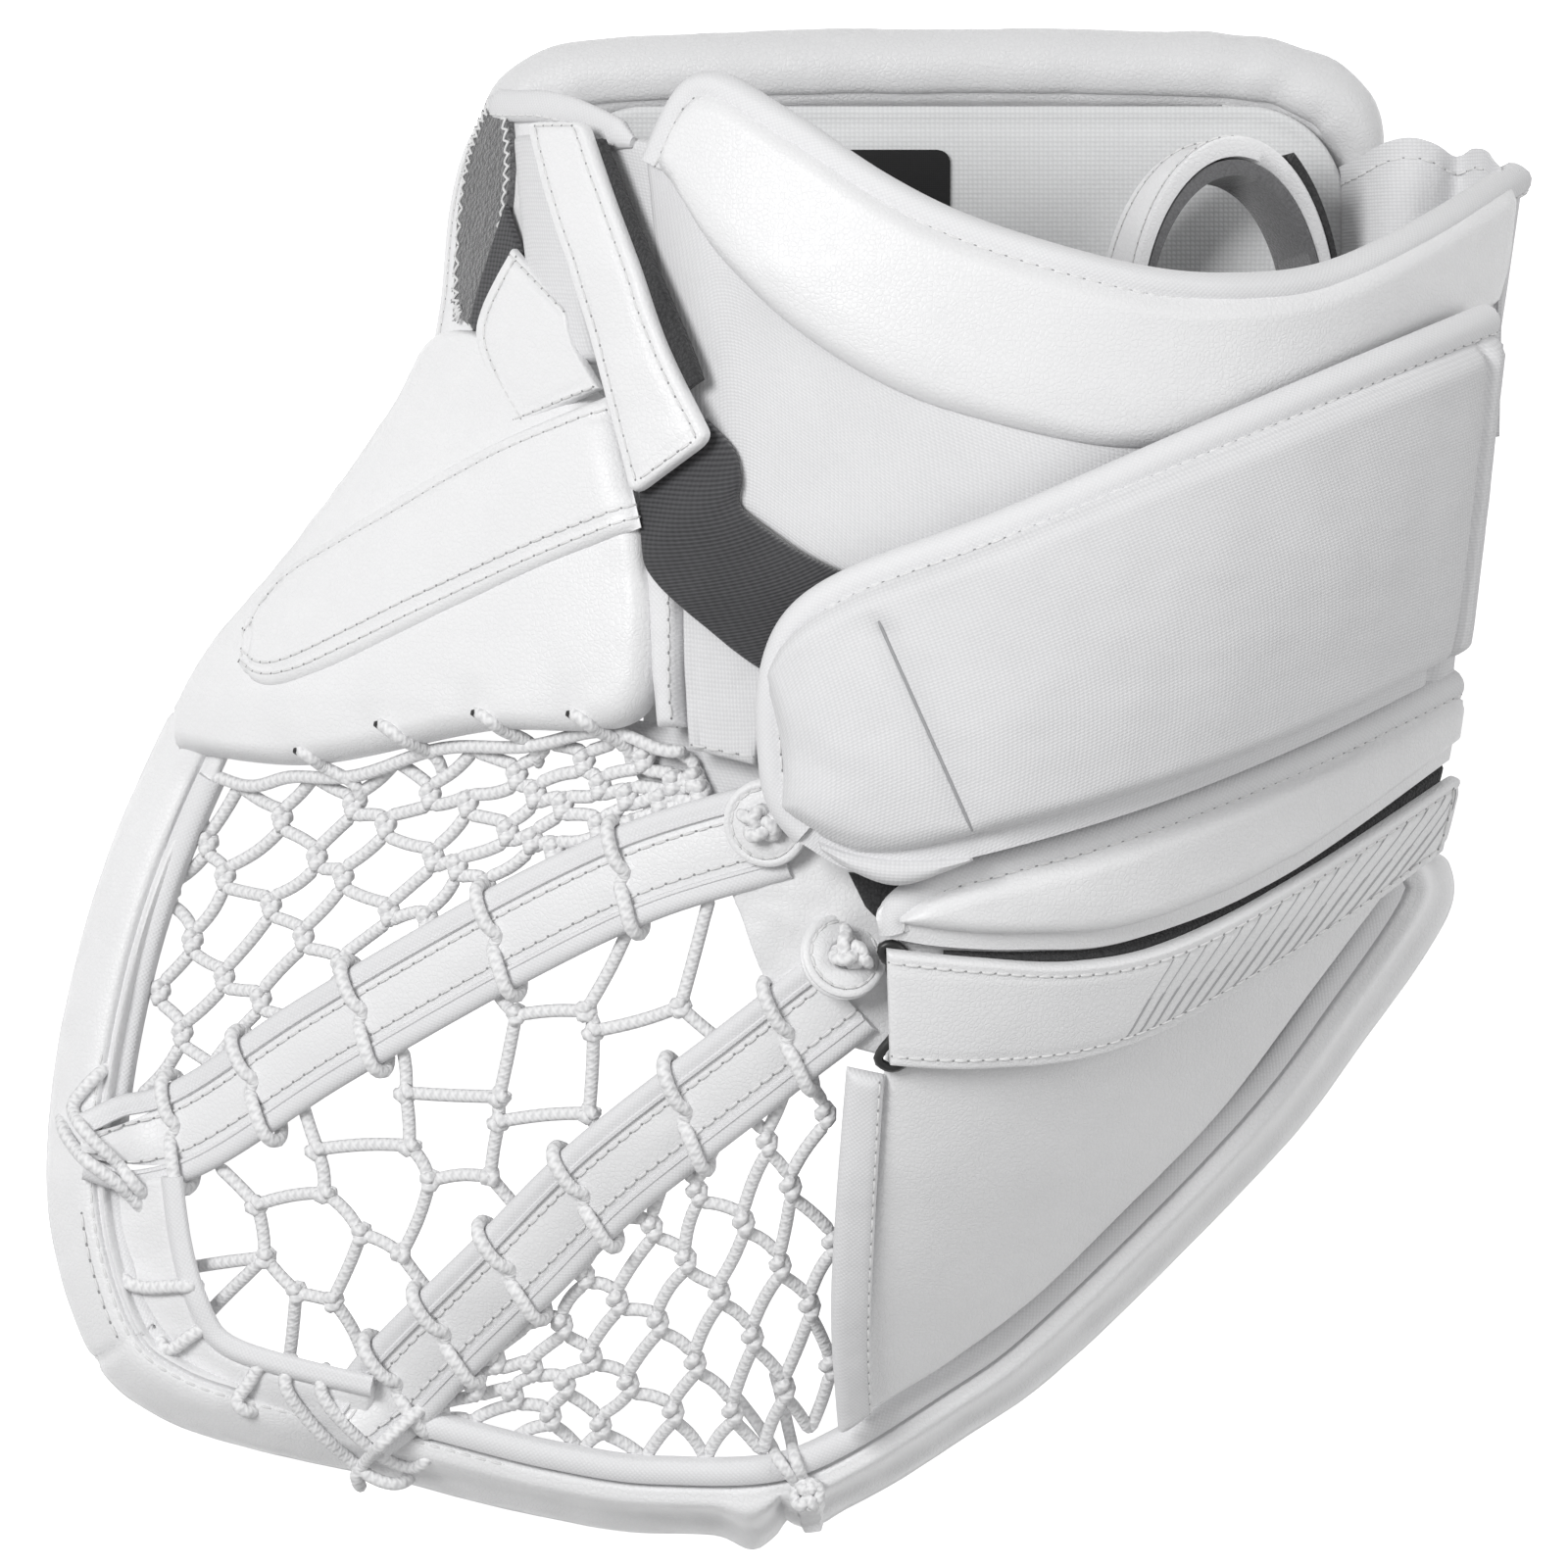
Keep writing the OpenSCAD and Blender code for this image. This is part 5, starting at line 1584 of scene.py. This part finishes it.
def makeKnot(key, base, side, fore, up):
    # a trefoil over the washer, with two tails that turn down
    a = np.linspace(0, twoPi, 90)[:, None]
    x, y, z = np.sin(a) + 2 * np.sin(2 * a), np.cos(a) - 2 * np.cos(2 * a), -np.sin(3 * a)
    paths = [base + side * (x * 1.25) + fore * (y * 1.25) + up * (washers["thick"] + 2.6 + z * 1.6)]
    for turn in (washers[key]["turn"], washers[key]["turn"] + 2.2):
        out = side * math.cos(turn) + fore * math.sin(turn)
        tail = [base + out * q + up * z for q, z in ((0, -1), (1.5, 3), (3.2, 6.4), (5.0, 6.3), (6.4, 4.6))]
        paths.append(curveThrough(tail, np.linspace(0, 1, 40)))
    laces(key + "Knot", paths, washers[key]["body"], ["knot_" + key], thick=3.2)


# netting and lacing
def topOf(names, x, y, below):
    # highest surface of the named pieces over each plan point, or the height given where there is none
    down = Vector((0, 0, -1))
    found = []
    for px, py, low in zip(x, y, below):
        best = low
        for name in names:
            hit, at, _, _ = bpy.data.objects[name].ray_cast(Vector((px, py, 200)) * mm, down)
            if hit:
                best = max(best, at.z / mm)
        found.append(best)
    return np.array(found)


net = {"lift": -4.6, "thick": 3.2, "wind": 1.35, "twist": {"thumb": 2.9, "middle": 2.2, "fingers": 2.9}}


def netPaths(a, b, ns, nt, wobble, seed):
    # columns of zigzag laces between two lines that meet in knots; gives each lace's ends and the knot places
    jitter = np.random.default_rng(seed).uniform(-wobble, wobble, (ns * 2 + 4, nt + 1, 2))

    def ends(i, j):
        u = np.array([(i + (j % 2) * 0.5) / ns])
        return curveThrough(a, u)[0], curveThrough(b, u)[0]

    def spot(i, j):
        a1, b1 = ends(i, j)
        return a1 * (1 - j / nt) + b1 * (j / nt) + jitter[i, j] * (0 if j in (0, nt) else 1)
    edges = []
    for j in range(nt):
        for i in range(ns):
            beside = i - 1 if j % 2 == 0 else i + 1
            edges += [(spot(i, j), spot(k, j + 1)) for k in (i, beside) if 0 <= k < ns]
    # each join lies along the net's own down direction, and the laces leave from its ends
    joins = []
    for j in range(1, nt):
        for i in range(ns):
            a1, b1 = ends(i, j)
            joins.append((spot(i, j), unitOf(b1 - a1)))
    axes = {tuple(p): d * net["twist"]["thumb"] * 0.8 for p, d in joins}
    return [(p + axes.get(tuple(p), 0), q - axes.get(tuple(q), 0)) for p, q in edges], joins


def strand(p, q, lift, bow):
    # one lace between two plan points, bowed sideways a little and sagging
    d = np.array(q, float) - np.array(p, float)
    n = np.array([-d[1], d[0]]) / max(np.linalg.norm(d), 1e-6)
    t = np.linspace(0, 1, 9)
    belly = np.sin(math.pi * t)
    x, y = (p[k] + d[k] * t + n[k] * belly * bow for k in (0, 1))
    return onSkin(x, y, lift - 0.6 * belly)


def twistPaths(at, axis, reach):
    # two laces that twist once round each other where they meet
    axis = unitOf(np.array(axis, float))
    u = np.linspace(-1, 1, 15)
    x, y = at[0] + axis[0] * u * reach, at[1] + axis[1] * u * reach
    spine = onSkin(x, y, net["lift"])
    up = skinUp(x, y)
    side = unitOf(np.cross(up, unitOf(np.gradient(spine, axis=0))))
    pinch = np.sqrt(np.clip(1.08 - u ** 2, 0, 1))[:, None] * net["wind"]
    turn = (u * math.pi * 0.85)[:, None]
    wind = side * np.cos(turn) * pinch + up * np.sin(turn) * pinch
    return [spine + wind, spine - wind]


def makeNet(zone, body, edges, knots, seed):
    rng = np.random.default_rng(seed)
    paths = [strand(p, q, net["lift"] + rng.uniform(-0.3, 0.3), rng.uniform(-0.8, 0.8)) for p, q in edges]
    for at, axis in knots:
        paths += twistPaths(at, axis, net["twist"][zone])
    label = {"fingers": "fingerNet"}.get(zone, zone + "Net")
    return laces(label, paths, body, ["net_" + zone], thick=net["thick"], cell=1.7)


middleNet = [
    ((-130, -103), (-113, -100)), ((-113, -100), (-115, -89)), ((-115, -89), (-92, -88)),
    ((-115, -89), (-119, -77)), ((-92, -88), (-93, -75)),
    ((-93, -75), (-70, -76)), ((-93, -75), (-94, -64)), ((-70, -76), (-66, -56)), ((-66, -56), (-49, -55)),
    ((-66, -56), (-72, -48)),
    ((-49, -55), (-37, -31)), ((-47, -60), (-26, -54)), ((-26, -54), (-19, -27)), ((-49, -55), (-47, -60)),
    ((-47, -60), (-48, -80)), ((-48, -80), (-70, -82)), ((-70, -76), (-70, -82)), ((-70, -82), (-72, -96)),
    ((-72, -96), (-87, -97)), ((-87, -97), (-92, -88)),
    ((-87, -97), (-94, -115)), ((-113, -100), (-104, -110)), ((-104, -110), (-94, -115)),
    ((-104, -110), (-111, -127)), ((-111, -127), (-103, -142)),
    ((-130, -103), (-128, -116)), ((-128, -116), (-154, -120)), ((-128, -116), (-120, -125)),
    ((-120, -125), (-111, -127)), ((-120, -125), (-123, -149)),
    ((-130, -103), (-140, -93)), ((-26, -54), (-14, -64)), ((-48, -80), (-42, -91)),
    ((-72, -96), (-60, -109)),
    ((-94, -115), (-82, -131)), ((-128, -116), (-147, -136)),
]


def makeNets():
    edges, knots = netPaths([(-150, 0), (-124, 1), (-92, 6), (-62, 9), (-36, 9), (-16, 3)],
                            [(-160, -76), (-128, -62), (-96, -44), (-68, -28), (-42, -15), (-20, -8)], 8, 6,
                            2.2, 4)
    makeNet("thumb", "hand", edges, knots, 4)
    knots = []
    for at in sorted(set(p for e in middleNet for p in e)):
        ways = [np.subtract(q if p == at else p, at) for p, q in middleNet if at in (p, q)]
        if len(ways) > 1:
            knots.append((at, max(ways, key=np.linalg.norm)))
    acrossFold(makeNet("middle", None, middleNet, knots, 7))
    edges, knots = netPaths([(-84, -144), (-60, -122), (-36, -98), (-10, -76), (12, -64)],
                            [(-82, -161), (-54, -165), (-27, -167), (-2, -164), (17, -154)], 7, 6, 2.2, 9)
    makeNet("fingers", "fingers", edges, knots, 9)


def windings(line, places, body, name):
    # the lace goes over a rib on a slant, dips through its middle and turns down past both edges
    paths = []
    rng = np.random.default_rng(len(places))
    h = rib["wide"] / 2
    half = [(h - 6, -6.4), (h - 1.5, -6.6), (h + 1.5, -4.6), (h + 2.1, -1.8), (h + 0.8, 0.9),
            (h - 1.8, 2.1),
            (h * 0.55, 2.0), (h * 0.28, 1.3), (h * 0.08, -0.6)]
    a, lift = np.array(half + [(-a, c) for a, c in half[::-1]]).T
    for t in places:
        p, q = curveThrough(line, np.array([t, min(t + 0.02, 1)]))
        d = unitOf(q - p)
        b = a / h * rng.uniform(1.6, 3.4) + np.where(a > 0, 1.1, -1.1) * groove(a, 3.0)
        pts = onSkin(p[0] - d[1] * a + d[0] * b, p[1] + d[0] * a + d[1] * b, lift)
        paths.append(curveThrough(pts, np.linspace(0, 1, 60)))
    laces(name, paths, body, thick=3.4, cell=1.4)


thumbLacing = {
    "eyelets": [(-115.6, 7.6), (-95.6, 13.9), (-72.0, 16.5), (-49.2, 16.2)], "thick": 3.2, "lift": -1.5,
    "run": [(-150, 6), (-132, 4), (-116, 4), (-90, 9), (-62, 13), (-38, 14), (-24, 10)],
}
ribLacing = {
    "upper": (0.19, 0.31, 0.45, 0.605, 0.78), "lower": (0.13, 0.25, 0.40, 0.555, 0.71, 0.87),
}


def makeLacing():
    bpy.context.view_layer.update()
    windings(upperRib, ribLacing["upper"], "hand", "upperLacing")
    windings(lowerRib, ribLacing["lower"], "fingers", "lowerLacing")
    # the lace that hangs the net from the thumb pad, up through its eyelets
    run = curveThrough(thumbLacing["run"], np.linspace(0, 1, 120))
    ripple = np.sin(np.linspace(0, 26, 120)) * 1.2
    paths = [onSkin(run[:, 0], run[:, 1] - 3 + ripple, thumbLacing["lift"])]
    for k, (x, y) in enumerate(thumbLacing["eyelets"]):
        z = topOf(["thumbPad"], [x, x + 2.6, x + 4.6], [y, y - 1.8, y - 3.4], [20.0, 20.0, 20.0])
        down = onSkin(np.array([x + 8.4, x + 10.6, x + 11.2]), np.array([y - 6.6, y - 9.4, y - 12.5]),
                      net["lift"])
        hoop = [(x - 1.0, y + 0.7, z[0] - 3), (x + 0.2, y - 0.1, z[0] + 0.7),
                (x + 2.6, y - 1.8, max(z[1], z[0] - 2) + 1.5),
                (x + 5.2, y - 3.7, max(z[2] + 1.2, (z[0] + down[0, 2]) / 2)), down[0] + (0, 0, 3.4),
                down[1] + (0, 0, 0.6),
                down[2] - (0, 0, 2.5)]
        paths.append(curveThrough([tuple(p) for p in hoop], np.linspace(0, 1, 44)))
        # a short near-black piece in each lace hole: painted shade inside the eyelet
        hole = [(x - 2.3, y + 0.5, z[0] - 0.5), (x - 1.0, y + 0.25, z[0] - 0.3),
                (x + 0.4, y - 0.1, z[0] - 0.4)]
        laces("eyelet" + str(k + 1), [curveThrough(hole, np.linspace(0, 1, 8))], "hand", thick=2.0,
              cell=0.8,
              slotName="plastic_black", material=eyeletShadeDark)
    laces("thumbLacing", paths, "hand", thick=thumbLacing["thick"])


# laces that hitch the pocket to the rim: plan points, each with its lift above whatever lies there
rimHitches = [
    ("hand", [(-161, -66, -6), (-166, -70, 0), (-170, -74, 1.6), (-173, -79, 1.8), (-169, -85, 2.0),
              (-162, -92, 1.8), (-157, -98, 1.4), (-154, -101, -5)]),
    ("hand", [(-176, -80, -5), (-175.5, -84, 1.2), (-171, -90, 1.8), (-163, -96, 1.8), (-158, -101, 1.2),
              (-155, -105, -5)]),
    ("hand", [(-141.8, -121.8, -6), (-144, -122, -1), (-148, -122, 1.6), (-155, -122.5, 1.7),
              (-159.5, -121.5, 1.4), (-161, -119.5, -4)]),
    ("fingers", [(-138.4, -130.6, -7), (-141, -132.2, -2), (-144, -134, 1.6), (-149, -137.5, 1.7),
                 (-151.5, -136.5, 1.2), (-151, -133.5, -4)]),
    ("fingers", [(-124.5, -139, -7), (-127.5, -141.6, -1), (-130, -145.5, 1.6), (-133, -150, 1.7),
                 (-130.5, -152.5, 1.3), (-127, -151.5, -4)]),
    ("fingers", [(-119, -139, -6), (-121, -146, 1.6), (-116, -154, 1.8), (-109, -161.5, 1.9),
                 (-101, -168.5, 1.8), (-94, -170.5, 1.4), (-90, -168, -4)]),
    ("fingers", [(-111, -141, -5), (-112, -148, 1.8), (-105, -157, 2.0), (-96, -164.5, 2.0),
                 (-89, -166, 1.6), (-85, -161, -4)]),
    ("fingers", [(-103, -172, -5), (-104, -168, 1.4), (-98, -160.5, 3.4), (-91, -154, 2.2),
                 (-85, -149, -5)]),
]
# the tie at the corner, given the same way
cornerTie = {
    "laces": [[(-2.5, -143, -7), (-1.2, -147.5, -2), (0, -152, 1.6), (1.2, -157.5, 1.7), (2.6, -163, 1.7),
               (4.4, -168, 1.7), (5.6, -171.4, 1.0)],
              [(-12, -149, -7), (-8.6, -153, -1), (-5.6, -157, 1.7), (-3.0, -161, 1.8), (-0.2, -165, 1.7),
               (2.6, -168.6, 1.7), (5.0, -171.6, 1.0)]],
    "knot": (5.6, -171.6, 1.8), "tail": [(5.8, -172.5, 1.4), (6.2, -175, 1.2), (6.5, -178, 1.0),
                                         (6.8, -180.6, 0.8), (7.0, -182.4, 0.6)],
}


def makeRimHitches():
    bpy.context.view_layer.update()
    under = [part + end for part in ("rimBottom", "rimThumb", "rimCorner") for end in ("", "Lip")]
    under += [part + end for part in ("upperRib", "lowerRib") for end in ("", "TapeA", "TapeB")]
    for k, (body, points) in enumerate(rimHitches):
        plan = curveThrough(points, np.linspace(0, 1, 46))
        ground = topOf(under, plan[:, 0], plan[:, 1], np.full(len(plan), 17.0))
        ground = np.maximum(smoothed(ground, 4), smoothed(ground, 1) - 0.4)
        path = np.stack([plan[:, 0], plan[:, 1], ground + plan[:, 2]], -1)
        laces("rimHitch" + str(k + 1), [path], body, thick=3.3, cell=1.4)


def overRim(points, steps, low):
    plan = curveThrough(points, np.linspace(0, 1, steps))
    ground = topOf(["rimBottom", "rimBottomLip", "rimFingers", "rimFingersLip"], plan[:, 0], plan[:, 1],
                   np.full(steps, low))
    return np.stack([plan[:, 0], plan[:, 1], smoothed(ground, 3) + plan[:, 2]], -1)


def makeCornerTie():
    at = overRim([cornerTie["knot"]] * 3, 9, 20.0)[4]
    paths = [overRim(points, 60, 20.0) for points in cornerTie["laces"]]
    a = np.linspace(0, twoPi, 80)
    for lean, wide in ((0.0, 2.9), (1.1, 2.6)):
        side, fore, up = np.array([math.cos(lean), math.sin(lean), 0.2]), np.array([-math.sin(lean),
                                                                                    math.cos(lean),
                                                                                    -0.3]), np.array([0,
                                                                                    -0.35, 0.94])
        paths.append(at + np.sin(a)[:, None] * side * wide + np.sin(2 * a)[:, None] * fore * wide
                     + np.cos(a)[:, None] * up * 1.8)
    laces("cornerTie", paths, "fingers", thick=3.0)
    tail = overRim(cornerTie["tail"], 40, 14.0)
    ups = np.tile([0.0, -0.75, 0.66], (40, 1))

    def flat(share, along):
        w = 2.0 + 1.5 * math.sin(math.pi * min(1, share * 0.8 + 0.12)) + 0.25 * math.sin(along * 1.9)
        return [(-w, -0.5), (-w * 0.8, 0.7), (0, 1.2), (w * 0.8, 0.7), (w, -0.5), (0, -1.3)]
    sweep("cornerTab", tail, ups, flat, "leather_white", "fingers", cell=0.9)


# palm side
# how the palm rises from the heel toward the fingers and falls off to both sides
palm = {
    "heel": 15.5, "rise": 60, "from": 61, "over": 86, "middle": 40, "half": 135, "under": 39,
    "least": 8, "fold": -28.4,
}


def palmHeight(x, y):
    ramp = palm["heel"] + palm["rise"] * np.clip((palm["from"] - y) / palm["over"], 0, 1) ** 0.8
    bowl = ramp + (palm["heel"] - ramp) * np.minimum(1, np.abs(x - palm["middle"]) / palm["half"]) ** 2.2
    return np.maximum(palm["least"], np.minimum(sampled(heights, x, y) - palm["under"], bowl))


def foldY(x):
    return 0.676 * x + palm["fold"]


def palmSheet(name, body, upper, lower, thick):
    job = {"upper": upper, "lower": lower, "cell": 2.6, "edge": 2.0}
    job["s"], job["t"], x, y = panelGrid(job)
    z = palmHeight(x, y)
    top = np.stack([x, y, z], -1)
    along, across = lengthsOf(top)
    near = np.minimum(np.minimum(along, along[-1:] - along), np.minimum(across, across[:, -1:] - across))
    crease = waves(x, y, 30, 3) * 0.5 + waves(x, y, 11, 6, 2) * 0.2
    low = z - thick * (0.3 + 0.7 * quarterRound(near, job["edge"])) + crease * steady(near, 1,
                                                                                      8) + groove(near - 6,
                                                                                      1.0) * 0.7
    job["top"] = np.stack([x, y, low], -1)
    finishPiece(slabObject(top, job["top"], along, across), name, "leather_inner", body)
    for side in ("t0", "t1"):
        p, n = spotOn(job, *insetLine(job, side, 6.0, 0.05, 0.95).T)
        sew(body, p, -n)


def makePalm():
    heel = [(-34, foldY(12) + 0.4)] + [(x, foldY(x) + 0.5) for x in (12, 52, 93, 134)]
    palmSheet("palmHeel", "hand", [(-34, 66), (10, 67), (60, 67), (100, 67), (132, 67)], heel, 5)
    fingertips = [(30, -122), (80, -100), (118, -58), (138, -26)]
    palmSheet("palmFingers", "fingers", [(x, foldY(x) - 0.5) for x in (30, 65, 99, 134)], fingertips, 5)


thumbPalm = {
    "name": "thumbPalm", "body": "hand", "slot": "leather_inner",
    "upper": [(-146, 18), (-137, 34), (-117, 59), (-97, 87), (-83, 107)],
    "lower": [(-144, 11.5), (-117, 9), (-80, 15), (-42, 20), (-39, 58)], "low": -20.0, "high": -16.0,
    "cell": 2.4, "edge": 1.8, "raw": True, "under": lambda s, t, x, y, gap: waves(x, y, 26, 5) * 0.4,
}


def makeThumbPalm():
    # its outer edge comes down to the floor and no further
    obj = panel(thumbPalm)
    co = coords(obj) / mm
    floor, bend = 0.4, 8.0
    squeeze = (bend - floor) / (bend - min(co[:, 2].min(), floor))
    co[:, 2] = np.where(co[:, 2] < bend, bend - (bend - co[:, 2]) * squeeze, co[:, 2])
    setCoords(obj, co * mm)


innerSlots = {
    "thumb_stall": "foam_grey", "thumb_stiffener": "stiffener", "finger_stalls": "foam_grey",
    "finger_stiffener": "stiffener", "backhand_foam": "foam_grey",
}


def dressInner():
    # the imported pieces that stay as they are
    for node, slotName in innerSlots.items():
        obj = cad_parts[node]
        obj.data.materials.clear()
        obj.data.materials.append(finishes[slotName])


makePalmCuff()
makeLiner()
makeCuffRoll()
makeInnerStrap()
makeGusset()
makeBackCuff()
print("cuff made")
makeThumb()
makeWeb()
makeWristStrap()
print("thumb and wrist strap made")
makeBackhandPad()
makeFingers()
makeStrapLoop()
makeHashMarks()
print("backhand pad and fingers made")
makeRim()
makeRibs()
for key in ("upper", "lower"):
    makeWasher(key)
makeNets()
makeLacing()
makeRimHitches()
makeCornerTie()
print("pocket made")
makePalm()
makeThumbPalm()
dressInner()
buildStitches()

bpy.context.view_layer.update()
